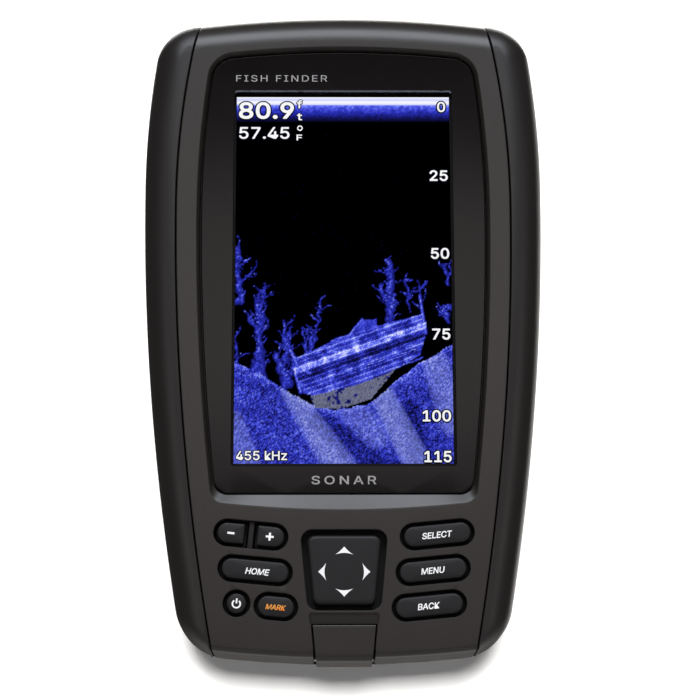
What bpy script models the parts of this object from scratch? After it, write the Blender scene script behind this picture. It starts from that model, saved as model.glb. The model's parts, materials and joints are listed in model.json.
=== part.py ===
"""Fish finder head unit: a portrait sonar display with a keypad, a memory-card door and a rear seat
for a quick-release cradle.

Row frame: +Z up, +X to the right as the user sees the display, +Y towards the back. The origin is the
centre of the flat rear seat that rests in the cradle. Sizes below are in millimetres and every mesh is
scaled to metres when it is made. Depths named D_... are measured backwards from the crest of the front
bezel, which is the foremost flat surface of the case."""

import math

import bmesh
import bpy
import numpy as np

MM = 0.001

# ---------------------------------------------------------------- driving dimensions (millimetres)
CASE_DEPTH = 44.0          # bezel crest to rear seat
CASE_TOP = 82.6            # top of the case above the seat centre, on the centre line
CASE_BOTTOM = -82.0        # bottom of the case, on the centre line
HALF_WIDTH = 50.0          # at the widest height
WIDEST_Z = 38.0
SIDE_R_UPPER = 230.0       # the sides bow in above and below the widest height
SIDE_R_LOWER = 625.0
TOP_R = 290.0
BOTTOM_R = 277.0
CORNER_TOP = 11.0
CORNER_BOTTOM = 13.0

FRONT_ROUND_SIDE = 8.2     # how far the rounded front edge reaches in from the side
FRONT_ROUND_TOP = 8.8
FRONT_ROUND_DEPTH = 9.0
BOTTOM_EDGE = 1.3          # the bottom front edge is much tighter

D_PARTING = 16.0           # middle of the joint between front and rear halves
PARTING_GAP = 0.6
RAIL_WALL = 1.8
RAIL_GAP = 0.3
CASE_WALL = 1.9
D_FRONT_WALL = 5.0         # inside face of the front wall behind the display
RAIL_SEAM_HALF = 41.5      # half width of the centre bezel where it meets the rails
RAIL_SEAM_Z = 31.0
RAIL_SEAM_R_UPPER = 215.0
RAIL_SEAM_R_LOWER = 617.0

REAR_ROUND_SIDE = 15.0
REAR_ROUND_TOP = 14.0
REAR_ROUND_BOTTOM = 18.0
D_REAR_FACE = 33.0
REAR_WALL = 2.2

SCREEN_WIDTH = 53.86       # lit area of the 4.3 inch panel, upright
SCREEN_HEIGHT = 95.04
SCREEN_Z = 13.0            # centre of the lit area
LENS_HALF = 35.4
LENS_WIDEST_Z = 29.0
LENS_R_UPPER = 263.0
LENS_R_LOWER = 605.0
LENS_TOP = 71.1
LENS_TOP_R = 250.0
LENS_BOTTOM = -42.3
LENS_CORNER_TOP = 6.0
LENS_CORNER_BOTTOM = 3.5
D_LENS = 1.2
LENS_THICK = 2.0
LENS_SEAL_THICK = 0.3
LENS_SEAL_WIDTH = 3.0
LENS_CLEARANCE = 0.3
LENS_FLARE = 0.8           # the bezel's inner edge slopes down to the lens
CHIN_DEPTH = 4.2           # height of the sloped crescent under the lens
CHIN_R = 245.0

KEY_ROWS_Z = (-52.5, -61.1, -69.6)
KEY_COLUMN_X = (22.4, 21.3, 20.3)
KEY_TILT = 5.5             # degrees; the rows follow the smile of the crescent
KEY_LENGTH = 16.4
KEY_HEIGHT = 5.1
KEY_WELL_GAP = 0.75        # all round, between cap and well
KEY_PROUD = 0.5
KEY_EDGE = 0.45            # the cap's bevel, across and along the depth
KEY_FLANGE = 0.8
KEY_FLANGE_THICK = 0.8
KEY_WALL = 2.6             # front wall over the keypad
KEY_UNDER_WALL = 0.3
PLUNGER_R = 1.5
PLUNGER_LENGTH = 0.9
ZOOM_RIB = 1.3
POWER_KEY_R = 2.5
POWER_KEY_X = -25.7
POWER_KEY_RISE = 0.6       # above its row's line; the mark key sits a little below it
MARK_KEY_LENGTH = 9.0
MARK_KEY_X = -16.3
MARK_KEY_DROP = 0.2

PAD_Z = -61.0
PAD_HALF_TOP = 9.0
PAD_HALF_BOTTOM = 7.4
PAD_HALF_HEIGHT = 8.3
PAD_CORNER = 1.8
PAD_GAP = 1.4
PAD_PROUD = 0.6
PAD_EDGE = 0.8
PAD_FOOT = 6.6             # from the middle to each switch foot
PAD_FOOT_R = 1.1
PAD_FOOT_LENGTH = 0.5
PIVOT_POST_R = 1.6
PIVOT_BASE_R = 2.2
PAD_FLANGE = 2.1
PAD_UNDER_WALL = 1.05
PAD_FLANGE_THICK = 0.8
D_PAD_PIVOT = 5.3
ROCKER_R = 5.0
ROCKER_THICK = 0.5

D_MAT = 5.7
MAT_THICK = 0.7
MAT_DOME = 0.2
MAT_HALF = 29.3
MAT_TOP = -47.6
MAT_BOTTOM = -71.6
MAT_DOME_R = 2.0
MAT_HOLE_R = 2.8
POCKET_SIDE_ROOM = 2.8     # round the keypad mat, for the key flanges
POCKET_LOW_ROOM = 2.4
POCKET_TOP_ROOM = 0.9
D_KEY_BOARD = 6.9
KEY_BOARD_THICK = 1.2

DOOR_TOP = -74.2
DOOR_HALF_TOP = 7.5
DOOR_HALF_BOTTOM = 6.75
DOOR_PROUD = 0.9           # how far the door stands below the case
DOOR_WALL = 2.0
DOOR_GAP = 0.35
DOOR_FACE_PROUD = 0.45     # and this far in front of the bezel
D_DOOR_PIVOT = 12.5
HEEL_R = 1.9               # the door's rounded heel, whose centre is the hinge
PIN_R = 0.5
PIN_CLEARANCE = 0.1
PIN_LENGTH = 18.4
POCKET_WALL = 1.7
SCOOP_TOP = -71.6
SCOOP_BOTTOM = -73.4
SCOOP_HALF = 8.0
SCOOP_DEPTH = 0.9

CARD_WIDTH = 11.0
CARD_LENGTH = 15.0
CARD_THICK = 1.0
D_CARD = 9.6               # middle of the card's thickness
CARD_PROUD = 1.5           # the latched card stands this far out of its slot
CARD_CLEARANCE = 0.25
CARD_OVERTRAVEL = 1.0
SOCKET_WALL = 0.5

PANEL_WIDTH = 67.2
PANEL_HEIGHT = 105.5
PANEL_THICK = 1.6
D_PANEL = 5.2
TRAY_WALL = 0.6
TRAY_THICK = 3.0
CARRIER_WALL = 1.6
CARRIER_RIM = 2.4          # how far its lip stands forward round the tray
TRAY_RIM = 1.0             # the tray beyond the panel, all round
CARRIER_MARGIN = 1.2
D_CARRIER = 8.9
BOARD_HALF_WIDTH = 29.3
BOARD_TOP = 60.0
BOARD_BOTTOM = -71.0
D_BOARD = 11.7
BOARD_THICK = 1.6
SHIELD = (-16.0, 18.0, -6.0, 26.0, 3.0)        # left, right, bottom, top, height above the board
ANTENNA = (9.0, 31.0, 49.0, 4.2)               # half width, bottom, top, height above the board
BEEPER = (-22.0, 38.0, 6.5, 3.0)               # x, z, radius, height above the board
PART_GAP = 0.1             # between stacked flat parts
RIBBON_THICK = 0.3
DISPLAY_RIBBON_HALF = 11.0
KEYPAD_RIBBON_HALF = 4.0
KEYPAD_RIBBON_X = 18.0

BOSS_R = 2.9
PILLAR_R = 4.4
SCREW_POINTS = ((34.5, 72.5), (39.5, 5.0), (32.6, -67.5))
D_SCREW_SEAT = 19.2
SCREW_TIP = 8.6
SCREW_R = 1.35
SCREW_HEAD_R = 2.8
SCREW_HEAD = 2.2
SCREW_CLEARANCE = 0.15
HEAD_WELL_R = 3.2
BOARD_SCREW_POINTS = ((26.5, 53.0), (26.5, -33.0))

SEAT_HALF = 29.0
SEAT_TOP = 30.0
SEAT_BOTTOM = -44.0
SEAT_CORNER = 7.0
SEAT_DRAFT = 1.6
BAY_HALF = 23.0
BAY_TOP = -16.0
BAY_BOTTOM = -40.0
BAY_CORNER = 4.0
BAY_DEPTH = 12.0
HOOK_SLOT_LENGTH = 12.0
HOOK_SLOT_HEIGHT = 2.4
HOOK_SLOT_DEPTH = 2.2
HOOK_SLOT_Z = (20.0, -8.0)

SOCKETS = (("power", -11.5, 4), ("transducer", 11.5, 8))
SOCKET_Z = -28.0
SOCKET_R = 7.6
SOCKET_BORE = 6.1
SOCKET_HEIGHT = 6.5
SOCKET_FLANGE_R = 9.2
SOCKET_BODY = 5.0
CONTACT_CIRCLE = 4.3
CONTACT_R = 0.55
CONTACT_LENGTH = 5.0
O_RING_R = 0.6
HARNESS_R = 1.4
VENT_BORE_R = 1.8

VENT_X = 20.0
VENT_Z = 52.0
VENT_R = 4.5
LABEL_Z = 51.0
LABEL_X = -8.0
LABEL_HALF = 17.0
LABEL_HALF_HEIGHT = 9.0
LABEL_THICK = 0.5

LONG = 60.0                # longer than any wall, for cutters
SMOOTH_BELOW = 35.0        # degrees; flatter edges than this are shaded smooth


DOOR_PIVOT_Z = CASE_BOTTOM - DOOR_PROUD + HEEL_R


def depth_y(depth):
    """Y of a depth measured back from the bezel crest."""
    return depth - CASE_DEPTH


# ---------------------------------------------------------------- scene, materials and objects
def clear_scene():
    for obj in list(bpy.data.objects):
        bpy.data.objects.remove(obj, do_unlink=True)


def collection(name):
    made = bpy.data.collections.new(name)
    bpy.context.scene.collection.children.link(made)
    return made


def material(name, colour, roughness, metallic=0.0):
    made = bpy.data.materials.new(name)
    made.use_nodes = True
    shader = made.node_tree.nodes["Principled BSDF"]
    shader.inputs["Base Color"].default_value = (*colour, 1.0)
    shader.inputs["Roughness"].default_value = roughness
    shader.inputs["Metallic"].default_value = metallic
    made.diffuse_color = (*colour, 1.0)
    return made


clear_scene()
PARTS = collection("fish_finder")
CUTTERS = collection("cutters")
CUTTERS.hide_render = True

CHARCOAL = material("charcoal_plastic", (0.030, 0.028, 0.027), 0.55)
RAIL_BLACK = material("rail_plastic", (0.018, 0.017, 0.016), 0.32)
REAR_BLACK = material("rear_plastic", (0.022, 0.021, 0.020), 0.6)
KEY_RUBBER = material("key_plastic", (0.026, 0.025, 0.026), 0.45)
SEAL_RUBBER = material("seal_rubber", (0.012, 0.012, 0.012), 0.8)
GLASS_BLACK = material("display_lens", (0.010, 0.010, 0.011), 0.08)
PANEL_BLUE = material("display_panel", (0.02, 0.03, 0.12), 0.2)
STEEL = material("steel", (0.55, 0.55, 0.56), 0.35, 1.0)
BRASS = material("brass", (0.78, 0.60, 0.28), 0.3, 1.0)
BOARD_GREEN = material("circuit_board", (0.02, 0.14, 0.06), 0.5)
CERAMIC = material("antenna_ceramic", (0.72, 0.68, 0.58), 0.6)
INNER_GREY = material("inner_plastic", (0.16, 0.16, 0.17), 0.6)
LABEL_GREY = material("label_film", (0.32, 0.32, 0.33), 0.5)
RIBBON = material("ribbon_film", (0.48, 0.24, 0.05), 0.4)


def keep(obj, name, finish, helper=False):
    """Names an object, gives it its material and puts it with the parts or with the cutters."""
    obj.name = name
    obj.data.name = name
    for old in list(obj.users_collection):
        old.objects.unlink(obj)
    (CUTTERS if helper else PARTS).objects.link(obj)
    if helper:
        obj.hide_render = True
        obj.display_type = "WIRE"
    else:
        obj.data.materials.clear()
        obj.data.materials.append(finish)
        if obj.type == "MESH":
            obj.data.shade_smooth()
            obj.data.set_sharp_from_angle(angle=math.radians(SMOOTH_BELOW))
    return obj


def finish_mesh(build, name, finish, place, tilt, helper):
    """Turns a bmesh drawn in millimetres into an object placed in the row frame."""
    bmesh.ops.remove_doubles(build, verts=build.verts, dist=1e-4)
    bmesh.ops.recalc_face_normals(build, faces=build.faces)
    bmesh.ops.scale(build, vec=(MM, MM, MM), verts=build.verts)
    mesh = bpy.data.meshes.new(name)
    build.to_mesh(mesh)
    build.free()
    obj = bpy.data.objects.new(name, mesh)
    bpy.context.scene.collection.objects.link(obj)
    obj.location = [value * MM for value in place]
    obj.rotation_euler = (0.0, math.radians(tilt), 0.0)
    return keep(obj, name, finish, helper)


def corners_only(outline):
    """An outline without the points that lie on a straight stretch, which a filled curve leaves open."""
    points = np.array(outline, float)
    before = points - np.roll(points, 1, axis=0)
    after = np.roll(points, -1, axis=0) - points
    turn = before[:, 0] * after[:, 1] - before[:, 1] * after[:, 0]
    return points[np.abs(turn) > 1e-6]


def plate(name, outline, front, back, finish=None, place=(0.0, 0.0, 0.0), tilt=0.0, helper=False):
    """A flat outline in X and Z, as a filled 2D curve extruded from one depth to another."""
    outline = corners_only(outline)
    curve = bpy.data.curves.new(name, "CURVE")
    curve.dimensions = "2D"
    curve.fill_mode = "BOTH"
    curve.extrude = (back - front) / 2
    spline = curve.splines.new("POLY")
    spline.points.add(len(outline) - 1)
    for point, (x, z) in zip(spline.points, outline):
        point.co = (x, z, 0.0, 1.0)
    spline.use_cyclic_u = True
    drawn = bpy.data.objects.new(name, curve)
    bpy.context.scene.collection.objects.link(drawn)
    bpy.context.view_layer.update()
    evaluated = drawn.evaluated_get(bpy.context.evaluated_depsgraph_get())
    mesh = bpy.data.meshes.new_from_object(evaluated)
    bpy.data.objects.remove(drawn, do_unlink=True)
    build = bmesh.new()
    build.from_mesh(mesh)
    middle = (front + back) / 2
    for vert in build.verts:
        x, z, half = vert.co
        vert.co = (x, depth_y(middle) - half, z)
    return finish_mesh(build, name, finish, place, tilt, helper)


def loft(name, sections, finish=None, place=(0.0, 0.0, 0.0), tilt=0.0, helper=False):
    """A closed solid through unlike outlines of one point count, each given as (depth, outline)."""
    build = bmesh.new()
    rings = []
    for depth, outline in sections:
        rings.append([build.verts.new((x, depth_y(depth), z)) for x, z in outline])
    count = len(rings[0])
    for ring, following in zip(rings, rings[1:]):
        for i in range(count):
            j = (i + 1) % count
            build.faces.new((ring[i], ring[j], following[j], following[i]))
    build.faces.new(rings[0])
    build.faces.new(rings[-1])
    return finish_mesh(build, name, finish, place, tilt, helper)


def rod(name, radius, front, back, at, finish=None, sides=20, helper=False, top_radius=None):
    """A round bar along Y from one depth to another; top_radius makes it a cone."""
    build = bmesh.new()
    end = radius if top_radius is None else top_radius
    bmesh.ops.create_cone(build, cap_ends=True, segments=sides, radius1=radius, radius2=end,
                          depth=back - front)
    middle = depth_y((front + back) / 2)
    for vert in build.verts:
        x, across, along = vert.co
        vert.co = (x + at[0], middle + along, across + at[1])
    return finish_mesh(build, name, finish, (0.0, 0.0, 0.0), 0.0, helper)


def cross_rod(name, radius, half_length, depth, z, finish=None, sides=16, helper=False):
    """A round bar along X, its origin on its own axis."""
    build = bmesh.new()
    bmesh.ops.create_cone(build, cap_ends=True, segments=sides, radius1=radius, radius2=radius,
                          depth=2 * half_length)
    for vert in build.verts:
        y, height, along = vert.co
        vert.co = (along, y, height)
    return finish_mesh(build, name, finish, (0.0, depth_y(depth), z), 0.0, helper)


def block(name, low, high, finish=None, bevel=0.0, helper=False):
    """A box from its lowest to its highest corner, given as (x, depth, z)."""
    size = [b - a for a, b in zip(low, high)]
    middle = [(a + b) / 2 for a, b in zip(low, high)]
    build = bmesh.new()
    bmesh.ops.create_cube(build, size=1.0)
    bmesh.ops.scale(build, vec=size, verts=build.verts)
    obj = finish_mesh(build, name, finish, (middle[0], depth_y(middle[1]), middle[2]), 0.0, helper)
    if bevel:
        rounded = obj.modifiers.new("rounded", "BEVEL")
        rounded.width = bevel * MM
        rounded.segments = 2
    return obj


def combine(target, other, operation):
    change = target.modifiers.new(other.name, "BOOLEAN")
    change.operation = operation
    change.solver = "EXACT"
    change.object = other


def cut(target, *cutters):
    for cutter in cutters:
        combine(target, cutter, "DIFFERENCE")


def join(target, *additions):
    for addition in additions:
        combine(target, addition, "UNION")


def move_origin(obj, x, depth, z):
    """Puts an object's origin on its joint without moving its shape."""
    target = np.array((x * MM, depth_y(depth) * MM, z * MM))
    shift = target - np.array(obj.location)
    for vert in obj.data.vertices:
        vert.co = np.array(vert.co) - shift
    obj.location = target


# ---------------------------------------------------------------- outlines
def bow(peak, centre, upper, lower=None):
    """A side or edge that bows away from its peak as a shallow arc, tighter on one half if asked."""
    def at(t):
        radius = upper if (t > centre or lower is None) else lower
        return peak - (t - centre) ** 2 / (2 * radius)
    return at


def slope(curve, t):
    return (curve(t + 0.01) - curve(t - 0.01)) / 0.02


def corner_arc(side, edge, radius, steps, sign):
    """The fillet between a side, x of z, and an edge, z of x, from the side round to the edge; sign is
    1 where the edge is the top one and -1 where it is the bottom one."""
    x, z = side(0.0), edge(0.0)
    for _ in range(40):
        z = edge(x) - sign * radius * math.hypot(1.0, slope(edge, x))
        x = side(z) - radius * math.hypot(1.0, slope(side, z))
    start = math.atan2(-slope(side, z), 1.0)
    end = math.atan2(sign, -sign * slope(edge, x))
    angles = np.linspace(start, end, steps + 1)
    return [(x + radius * math.cos(a), z + radius * math.sin(a)) for a in angles]


def barrel(side, top, bottom, top_radius, bottom_radius, side_steps=8, edge_steps=3, corner_steps=4):
    """A closed outline that is symmetric about x = 0: bottom, right side, top, left side."""
    low = corner_arc(side, bottom, bottom_radius, corner_steps, -1.0)[::-1]
    high = corner_arc(side, top, top_radius, corner_steps, 1.0)
    half = [(x, bottom(x)) for x in np.linspace(0.0, low[0][0], edge_steps + 1)[:-1]]
    half += low
    half += [(side(z), z) for z in np.linspace(low[-1][1], high[0][1], side_steps + 1)[1:-1]]
    half += high
    half += [(x, top(x)) for x in np.linspace(high[-1][0], 0.0, edge_steps + 1)[1:]]
    return half + [(-x, z) for x, z in half[-2:0:-1]]


def flat(value):
    return lambda t: value


def box_outline(half_width, bottom, top, radius, corner_steps=3):
    return barrel(flat(half_width), flat(top), flat(bottom), radius, radius, 1, 1, corner_steps)


def pill(length, height, steps=6):
    """A bar with fully round ends, centred on the origin."""
    radius = height / 2
    reach = length / 2 - radius
    angles = np.linspace(-math.pi / 2, math.pi / 2, steps + 1)
    right = [(reach + radius * math.cos(a), radius * math.sin(a)) for a in angles]
    return right + [(-x, -z) for x, z in right]


def half_pill(length, height, gap, side):
    """The half of a pill on one side of a centre gap, keeping its round end; side is 1 or -1."""
    radius = height / 2
    reach = length / 2 - radius
    angles = np.linspace(-math.pi / 2, math.pi / 2, 7)
    points = [(gap / 2, -radius)]
    points += [(reach + radius * math.cos(a), radius * math.sin(a)) for a in angles]
    points += [(gap / 2, radius)]
    return points if side > 0 else [(-x, z) for x, z in reversed(points)]


def middle_x(outline):
    """Half way between an outline's leftmost and rightmost points."""
    across = [x for x, _ in outline]
    return (min(across) + max(across)) / 2


def grown(outline, amount):
    """An outline moved outwards along its corner normals."""
    points = np.array(outline)
    before = points - np.roll(points, 1, axis=0)
    after = np.roll(points, -1, axis=0) - points
    before /= np.linalg.norm(before, axis=1)[:, None]
    after /= np.linalg.norm(after, axis=1)[:, None]
    out_before = np.stack([before[:, 1], -before[:, 0]], axis=1)
    out_after = np.stack([after[:, 1], -after[:, 0]], axis=1)
    mean = out_before + out_after
    mean /= np.linalg.norm(mean, axis=1)[:, None]
    reach = amount / np.clip((mean * out_after).sum(axis=1), 0.35, None)
    return [tuple(p) for p in points + mean * reach[:, None]]


def quarter_round(position, reach, length):
    """How far a quarter ellipse still stands in from the wall, at a position along its length."""
    if position >= length:
        return 0.0
    share = 1.0 - max(position, 0.0) / length
    return reach * (1.0 - math.sqrt(max(0.0, 1.0 - share * share)))


def case_outline(side_in, top_in, bottom_in):
    side = bow(HALF_WIDTH - side_in, WIDEST_Z, SIDE_R_UPPER, SIDE_R_LOWER)
    top = bow(CASE_TOP - top_in, 0.0, TOP_R)
    rise = bow(-CASE_BOTTOM - bottom_in, 0.0, BOTTOM_R)
    return barrel(side, top, lambda x: -rise(x), max(CORNER_TOP - side_in, 2.0),
                  max(CORNER_BOTTOM - max(side_in, bottom_in), 2.0))


def front_section(depth, offset):
    """The front half's outline at a depth, for a skin that lies offset inside the outer one."""
    local = depth - offset
    side_in = quarter_round(local, FRONT_ROUND_SIDE, FRONT_ROUND_DEPTH) + offset
    top_in = quarter_round(local, FRONT_ROUND_TOP, FRONT_ROUND_DEPTH) + offset
    under = quarter_round(local, BOTTOM_EDGE, BOTTOM_EDGE) + offset
    return case_outline(side_in, top_in, under)


def front_envelope(name, offset, end, helper=True, finish=None):
    """The front half as one solid skin, from its rounded front edge back to a depth."""
    angles = np.radians((0, 12, 26, 42, 60, 78, 90))
    depths = [offset + FRONT_ROUND_DEPTH * (1.0 - math.cos(a)) for a in angles] + [end]
    sections = [(depth, front_section(depth, offset)) for depth in depths]
    return loft(name, sections, finish, helper=helper)


def rear_section(depth, offset):
    start = D_PARTING + PARTING_GAP / 2
    travel = D_REAR_FACE - start
    from_back = travel - (depth + offset - start)
    side_in = quarter_round(from_back, REAR_ROUND_SIDE, travel) + offset
    top_in = quarter_round(from_back, REAR_ROUND_TOP, travel) + offset
    under = quarter_round(from_back, REAR_ROUND_BOTTOM, travel) + offset
    return case_outline(side_in, top_in, under)


def rear_envelope(name, offset, start, finish=None, helper=True):
    """The rear half as one solid skin, from a depth back to its rear face."""
    first = D_PARTING + PARTING_GAP / 2
    travel = D_REAR_FACE - first
    angles = np.radians((18, 36, 52, 66, 78, 90))
    depths = [start] + [first + travel * math.sin(a) - offset for a in angles]
    sections = [(depth, rear_section(depth, offset)) for depth in depths]
    return loft(name, sections, finish, helper=helper)


def strip_outline(half_at, low, high, steps=12):
    """The area between two mirrored curves, between two heights."""
    heights = np.linspace(low, high, steps + 1)
    right = [(half_at(z), z) for z in heights]
    return right + [(-x, z) for x, z in reversed(right)]


# ---------------------------------------------------------------- case halves
seam = bow(RAIL_SEAM_HALF, RAIL_SEAM_Z, RAIL_SEAM_R_UPPER, RAIL_SEAM_R_LOWER)
lens_side = bow(LENS_HALF, LENS_WIDEST_Z, LENS_R_UPPER, LENS_R_LOWER)
lens_top = bow(LENS_TOP, 0.0, LENS_TOP_R)
CASE_FRONT_END = D_PARTING - PARTING_GAP / 2
CASE_REAR_START = D_PARTING + PARTING_GAP / 2
INNER_OFFSET = RAIL_WALL + RAIL_GAP
CAVITY_OFFSET = INNER_OFFSET + CASE_WALL
CHIN_Z = LENS_BOTTOM - CHIN_DEPTH
D_LEDGE = D_LENS + LENS_THICK + LENS_SEAL_THICK + 2 * PART_GAP


def lens_outline(grow):
    side = bow(LENS_HALF + grow, LENS_WIDEST_Z, LENS_R_UPPER, LENS_R_LOWER)
    top = bow(LENS_TOP + grow, 0.0, LENS_TOP_R)
    return barrel(side, top, flat(LENS_BOTTOM - grow), LENS_CORNER_TOP + grow,
                  LENS_CORNER_BOTTOM + grow)


def chin_outline(grow):
    """The bezel's opening at the crest: it follows the lens, and dips to a crescent below it."""
    side = bow(LENS_HALF + grow, LENS_WIDEST_Z, LENS_R_UPPER, LENS_R_LOWER)
    top = bow(LENS_TOP + grow, 0.0, LENS_TOP_R)
    dip = bow(-CHIN_Z, 0.0, CHIN_R)
    return barrel(side, top, lambda x: -dip(x), LENS_CORNER_TOP + grow, LENS_CORNER_BOTTOM)


def key_places():
    """Every round-ended key as (name, x, z, tilt, cap outline); the two zoom keys share one well."""
    places = []
    row_1, row_2, row_3 = KEY_ROWS_Z
    for name, side in (("zoom_out_key", -1), ("zoom_in_key", 1)):
        gap = ZOOM_RIB + 2 * KEY_WELL_GAP
        outline = half_pill(KEY_LENGTH, KEY_HEIGHT, gap, side)
        places.append((name, -KEY_COLUMN_X[0], row_1, KEY_TILT, outline))
    places.append(("home_key", -KEY_COLUMN_X[1], row_2, KEY_TILT, pill(KEY_LENGTH, KEY_HEIGHT)))
    round_cap = pill(2 * POWER_KEY_R, 2 * POWER_KEY_R - 0.01)
    places.append(("power_key", POWER_KEY_X, row_3 + POWER_KEY_RISE, KEY_TILT, round_cap))
    mark_cap = pill(MARK_KEY_LENGTH, KEY_HEIGHT)
    places.append(("mark_key", MARK_KEY_X, row_3 - MARK_KEY_DROP, KEY_TILT, mark_cap))
    places.append(("select_key", KEY_COLUMN_X[0], row_1, -KEY_TILT, pill(KEY_LENGTH, KEY_HEIGHT)))
    places.append(("menu_key", KEY_COLUMN_X[1], row_2, -KEY_TILT, pill(KEY_LENGTH, KEY_HEIGHT)))
    places.append(("back_key", KEY_COLUMN_X[2], row_3, -KEY_TILT, pill(KEY_LENGTH, KEY_HEIGHT)))
    return places


def pad_outline(grow):
    slant = (PAD_HALF_TOP - PAD_HALF_BOTTOM) / (2 * PAD_HALF_HEIGHT)
    middle = (PAD_HALF_TOP + PAD_HALF_BOTTOM) / 2
    reach = PAD_HALF_HEIGHT + grow
    return barrel(lambda z: middle + grow + slant * z, flat(reach), flat(-reach),
                  PAD_CORNER + grow * 0.6, PAD_CORNER + grow * 0.6, 2, 1, 3)


def door_outline(grow, top, bottom):
    """The door's tapering front outline, from its top edge to below the case."""
    slant = (DOOR_HALF_TOP - DOOR_HALF_BOTTOM) / (DOOR_TOP - CASE_BOTTOM)

    def half_at(z):
        return DOOR_HALF_BOTTOM + grow + slant * (z - CASE_BOTTOM)
    return strip_outline(half_at, bottom, top, 1)


def make_front_bezel():
    bezel = front_envelope("front_bezel", 0.0, CASE_FRONT_END, helper=False, finish=CHARCOAL)
    centre = plate("centre_strip", strip_outline(seam, CASE_BOTTOM - 4, CASE_TOP + 4), -2.0,
                   CASE_FRONT_END + 2, helper=True)
    combine(bezel, centre, "INTERSECT")
    under_rails = front_envelope("under_rails", INNER_OFFSET, CASE_FRONT_END, helper=True)
    join(bezel, under_rails)
    cavity = front_envelope("front_cavity", CAVITY_OFFSET, CASE_FRONT_END + 3, helper=True)
    front_cut = block("cavity_front_trim", (-LONG, D_FRONT_WALL, -2 * LONG),
                      (LONG, CASE_FRONT_END + 5, 2 * LONG), helper=True)
    combine(cavity, front_cut, "INTERSECT")
    cut(bezel, cavity)
    return bezel


def cut_display_opening(bezel):
    recess = loft("lens_recess", ((-1.0, chin_outline(LENS_FLARE + LENS_CLEARANCE)),
                                  (0.0, chin_outline(LENS_FLARE + LENS_CLEARANCE)),
                                  (D_LENS + 0.1, lens_outline(LENS_CLEARANCE)),
                                  (D_LEDGE, lens_outline(LENS_CLEARANCE))), helper=True)
    window = plate("window", box_outline(SCREEN_WIDTH / 2 + 1.5, SCREEN_Z - SCREEN_HEIGHT / 2 - 1.5,
                                         SCREEN_Z + SCREEN_HEIGHT / 2 + 1.5, 2.0),
                   D_LENS, D_FRONT_WALL + 1.0, helper=True)
    cut(bezel, recess, window)


def cut_keypad(bezel):
    pocket = plate("keypad_pocket", box_outline(MAT_HALF + POCKET_SIDE_ROOM, MAT_BOTTOM - POCKET_LOW_ROOM,
                                                  MAT_TOP + POCKET_TOP_ROOM, 3.0),
                   KEY_WALL, D_FRONT_WALL + 1.0, helper=True)
    cut(bezel, pocket)
    for name, x, z, tilt, outline in key_places():
        well = plate(name + "_well", grown(outline, KEY_WELL_GAP), -1.0, KEY_WALL + 1.0,
                     place=(x, 0.0, z), tilt=tilt, helper=True)
        cut(bezel, well)
    pad_well = plate("pad_well", pad_outline(PAD_GAP), -1.0, KEY_WALL + 1.0,
                     place=(0.0, 0.0, PAD_Z), helper=True)
    cut(bezel, pad_well)


def add_door_pocket(bezel):
    """A closed pocket behind the card door, with a slot for the card in its ceiling."""
    outer = block("pocket_block", (-DOOR_HALF_TOP - POCKET_WALL - DOOR_GAP, D_FRONT_WALL - 2.5, -LONG * 2),
                  (DOOR_HALF_TOP + POCKET_WALL + DOOR_GAP, CASE_FRONT_END - 0.1,
                   DOOR_TOP + DOOR_GAP + POCKET_WALL), helper=True)
    inside = front_envelope("pocket_limit", 0.4, CASE_FRONT_END, helper=True)
    combine(outer, inside, "INTERSECT")
    join(bezel, outer)
    mouth = plate("pocket_mouth", door_outline(DOOR_GAP, DOOR_TOP + DOOR_GAP, CASE_BOTTOM - 6), -3.0,
                  D_DOOR_PIVOT + HEEL_R + DOOR_GAP, helper=True)
    slot = block("card_slot", (-CARD_WIDTH / 2 - CARD_CLEARANCE, D_CARD - CARD_THICK / 2 - CARD_CLEARANCE,
                               DOOR_TOP - 1), (CARD_WIDTH / 2 + CARD_CLEARANCE,
                                               D_CARD + CARD_THICK / 2 + CARD_CLEARANCE, DOOR_TOP + 4),
                 helper=True)
    bore = cross_rod("hinge_bore", PIN_R + PIN_CLEARANCE, PIN_LENGTH / 2 + 0.2, D_DOOR_PIVOT,
                     DOOR_PIVOT_Z, helper=True)
    scoop = loft("finger_scoop", (
        (-0.5, box_outline(SCOOP_HALF + 0.6, SCOOP_BOTTOM, SCOOP_TOP + 0.4, 0.9, 2)),
        (SCOOP_DEPTH, box_outline(SCOOP_HALF - 0.4, SCOOP_BOTTOM - 1.2, SCOOP_TOP - 0.4, 0.6, 2))),
        helper=True)
    cut(bezel, mouth, slot, bore, scoop)


def add_front_bosses(bezel):
    for x, z in SCREW_POINTS:
        for side in (1, -1):
            label = f"boss_{x:g}_{side}"
            boss = rod(label, BOSS_R, D_FRONT_WALL - 0.6, CASE_FRONT_END - 0.2, (x * side, z),
                       sides=16, helper=True)
            join(bezel, boss)
    for x, z in SCREW_POINTS:
        for side in (1, -1):
            hole = rod(f"boss_hole_{x:g}_{side}", SCREW_R + SCREW_CLEARANCE, SCREW_TIP - 0.6,
                       CASE_FRONT_END + 1.0, (x * side, z), sides=12, helper=True)
            cut(bezel, hole)


def make_rail(name, side):
    """One side rail: the outer skin beyond the seam, hollowed to fit over the bezel's flank."""
    rail = front_envelope(name, 0.0, CASE_FRONT_END, helper=False, finish=RAIL_BLACK)
    inner = front_envelope(name + "_inner", RAIL_WALL, CASE_FRONT_END + 1.0, helper=True)
    centre = plate(name + "_seam", strip_outline(lambda z: seam(z) + RAIL_GAP, CASE_BOTTOM - 4,
                                                 CASE_TOP + 4), -2.0, CASE_FRONT_END + 2, helper=True)
    other_half = block(name + "_other", (min(0, -side * LONG * 2), -5, -2 * LONG),
                       (max(0, -side * LONG * 2), CASE_FRONT_END + 5, 2 * LONG), helper=True)
    cut(rail, inner, centre, other_half)
    return rail


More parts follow.
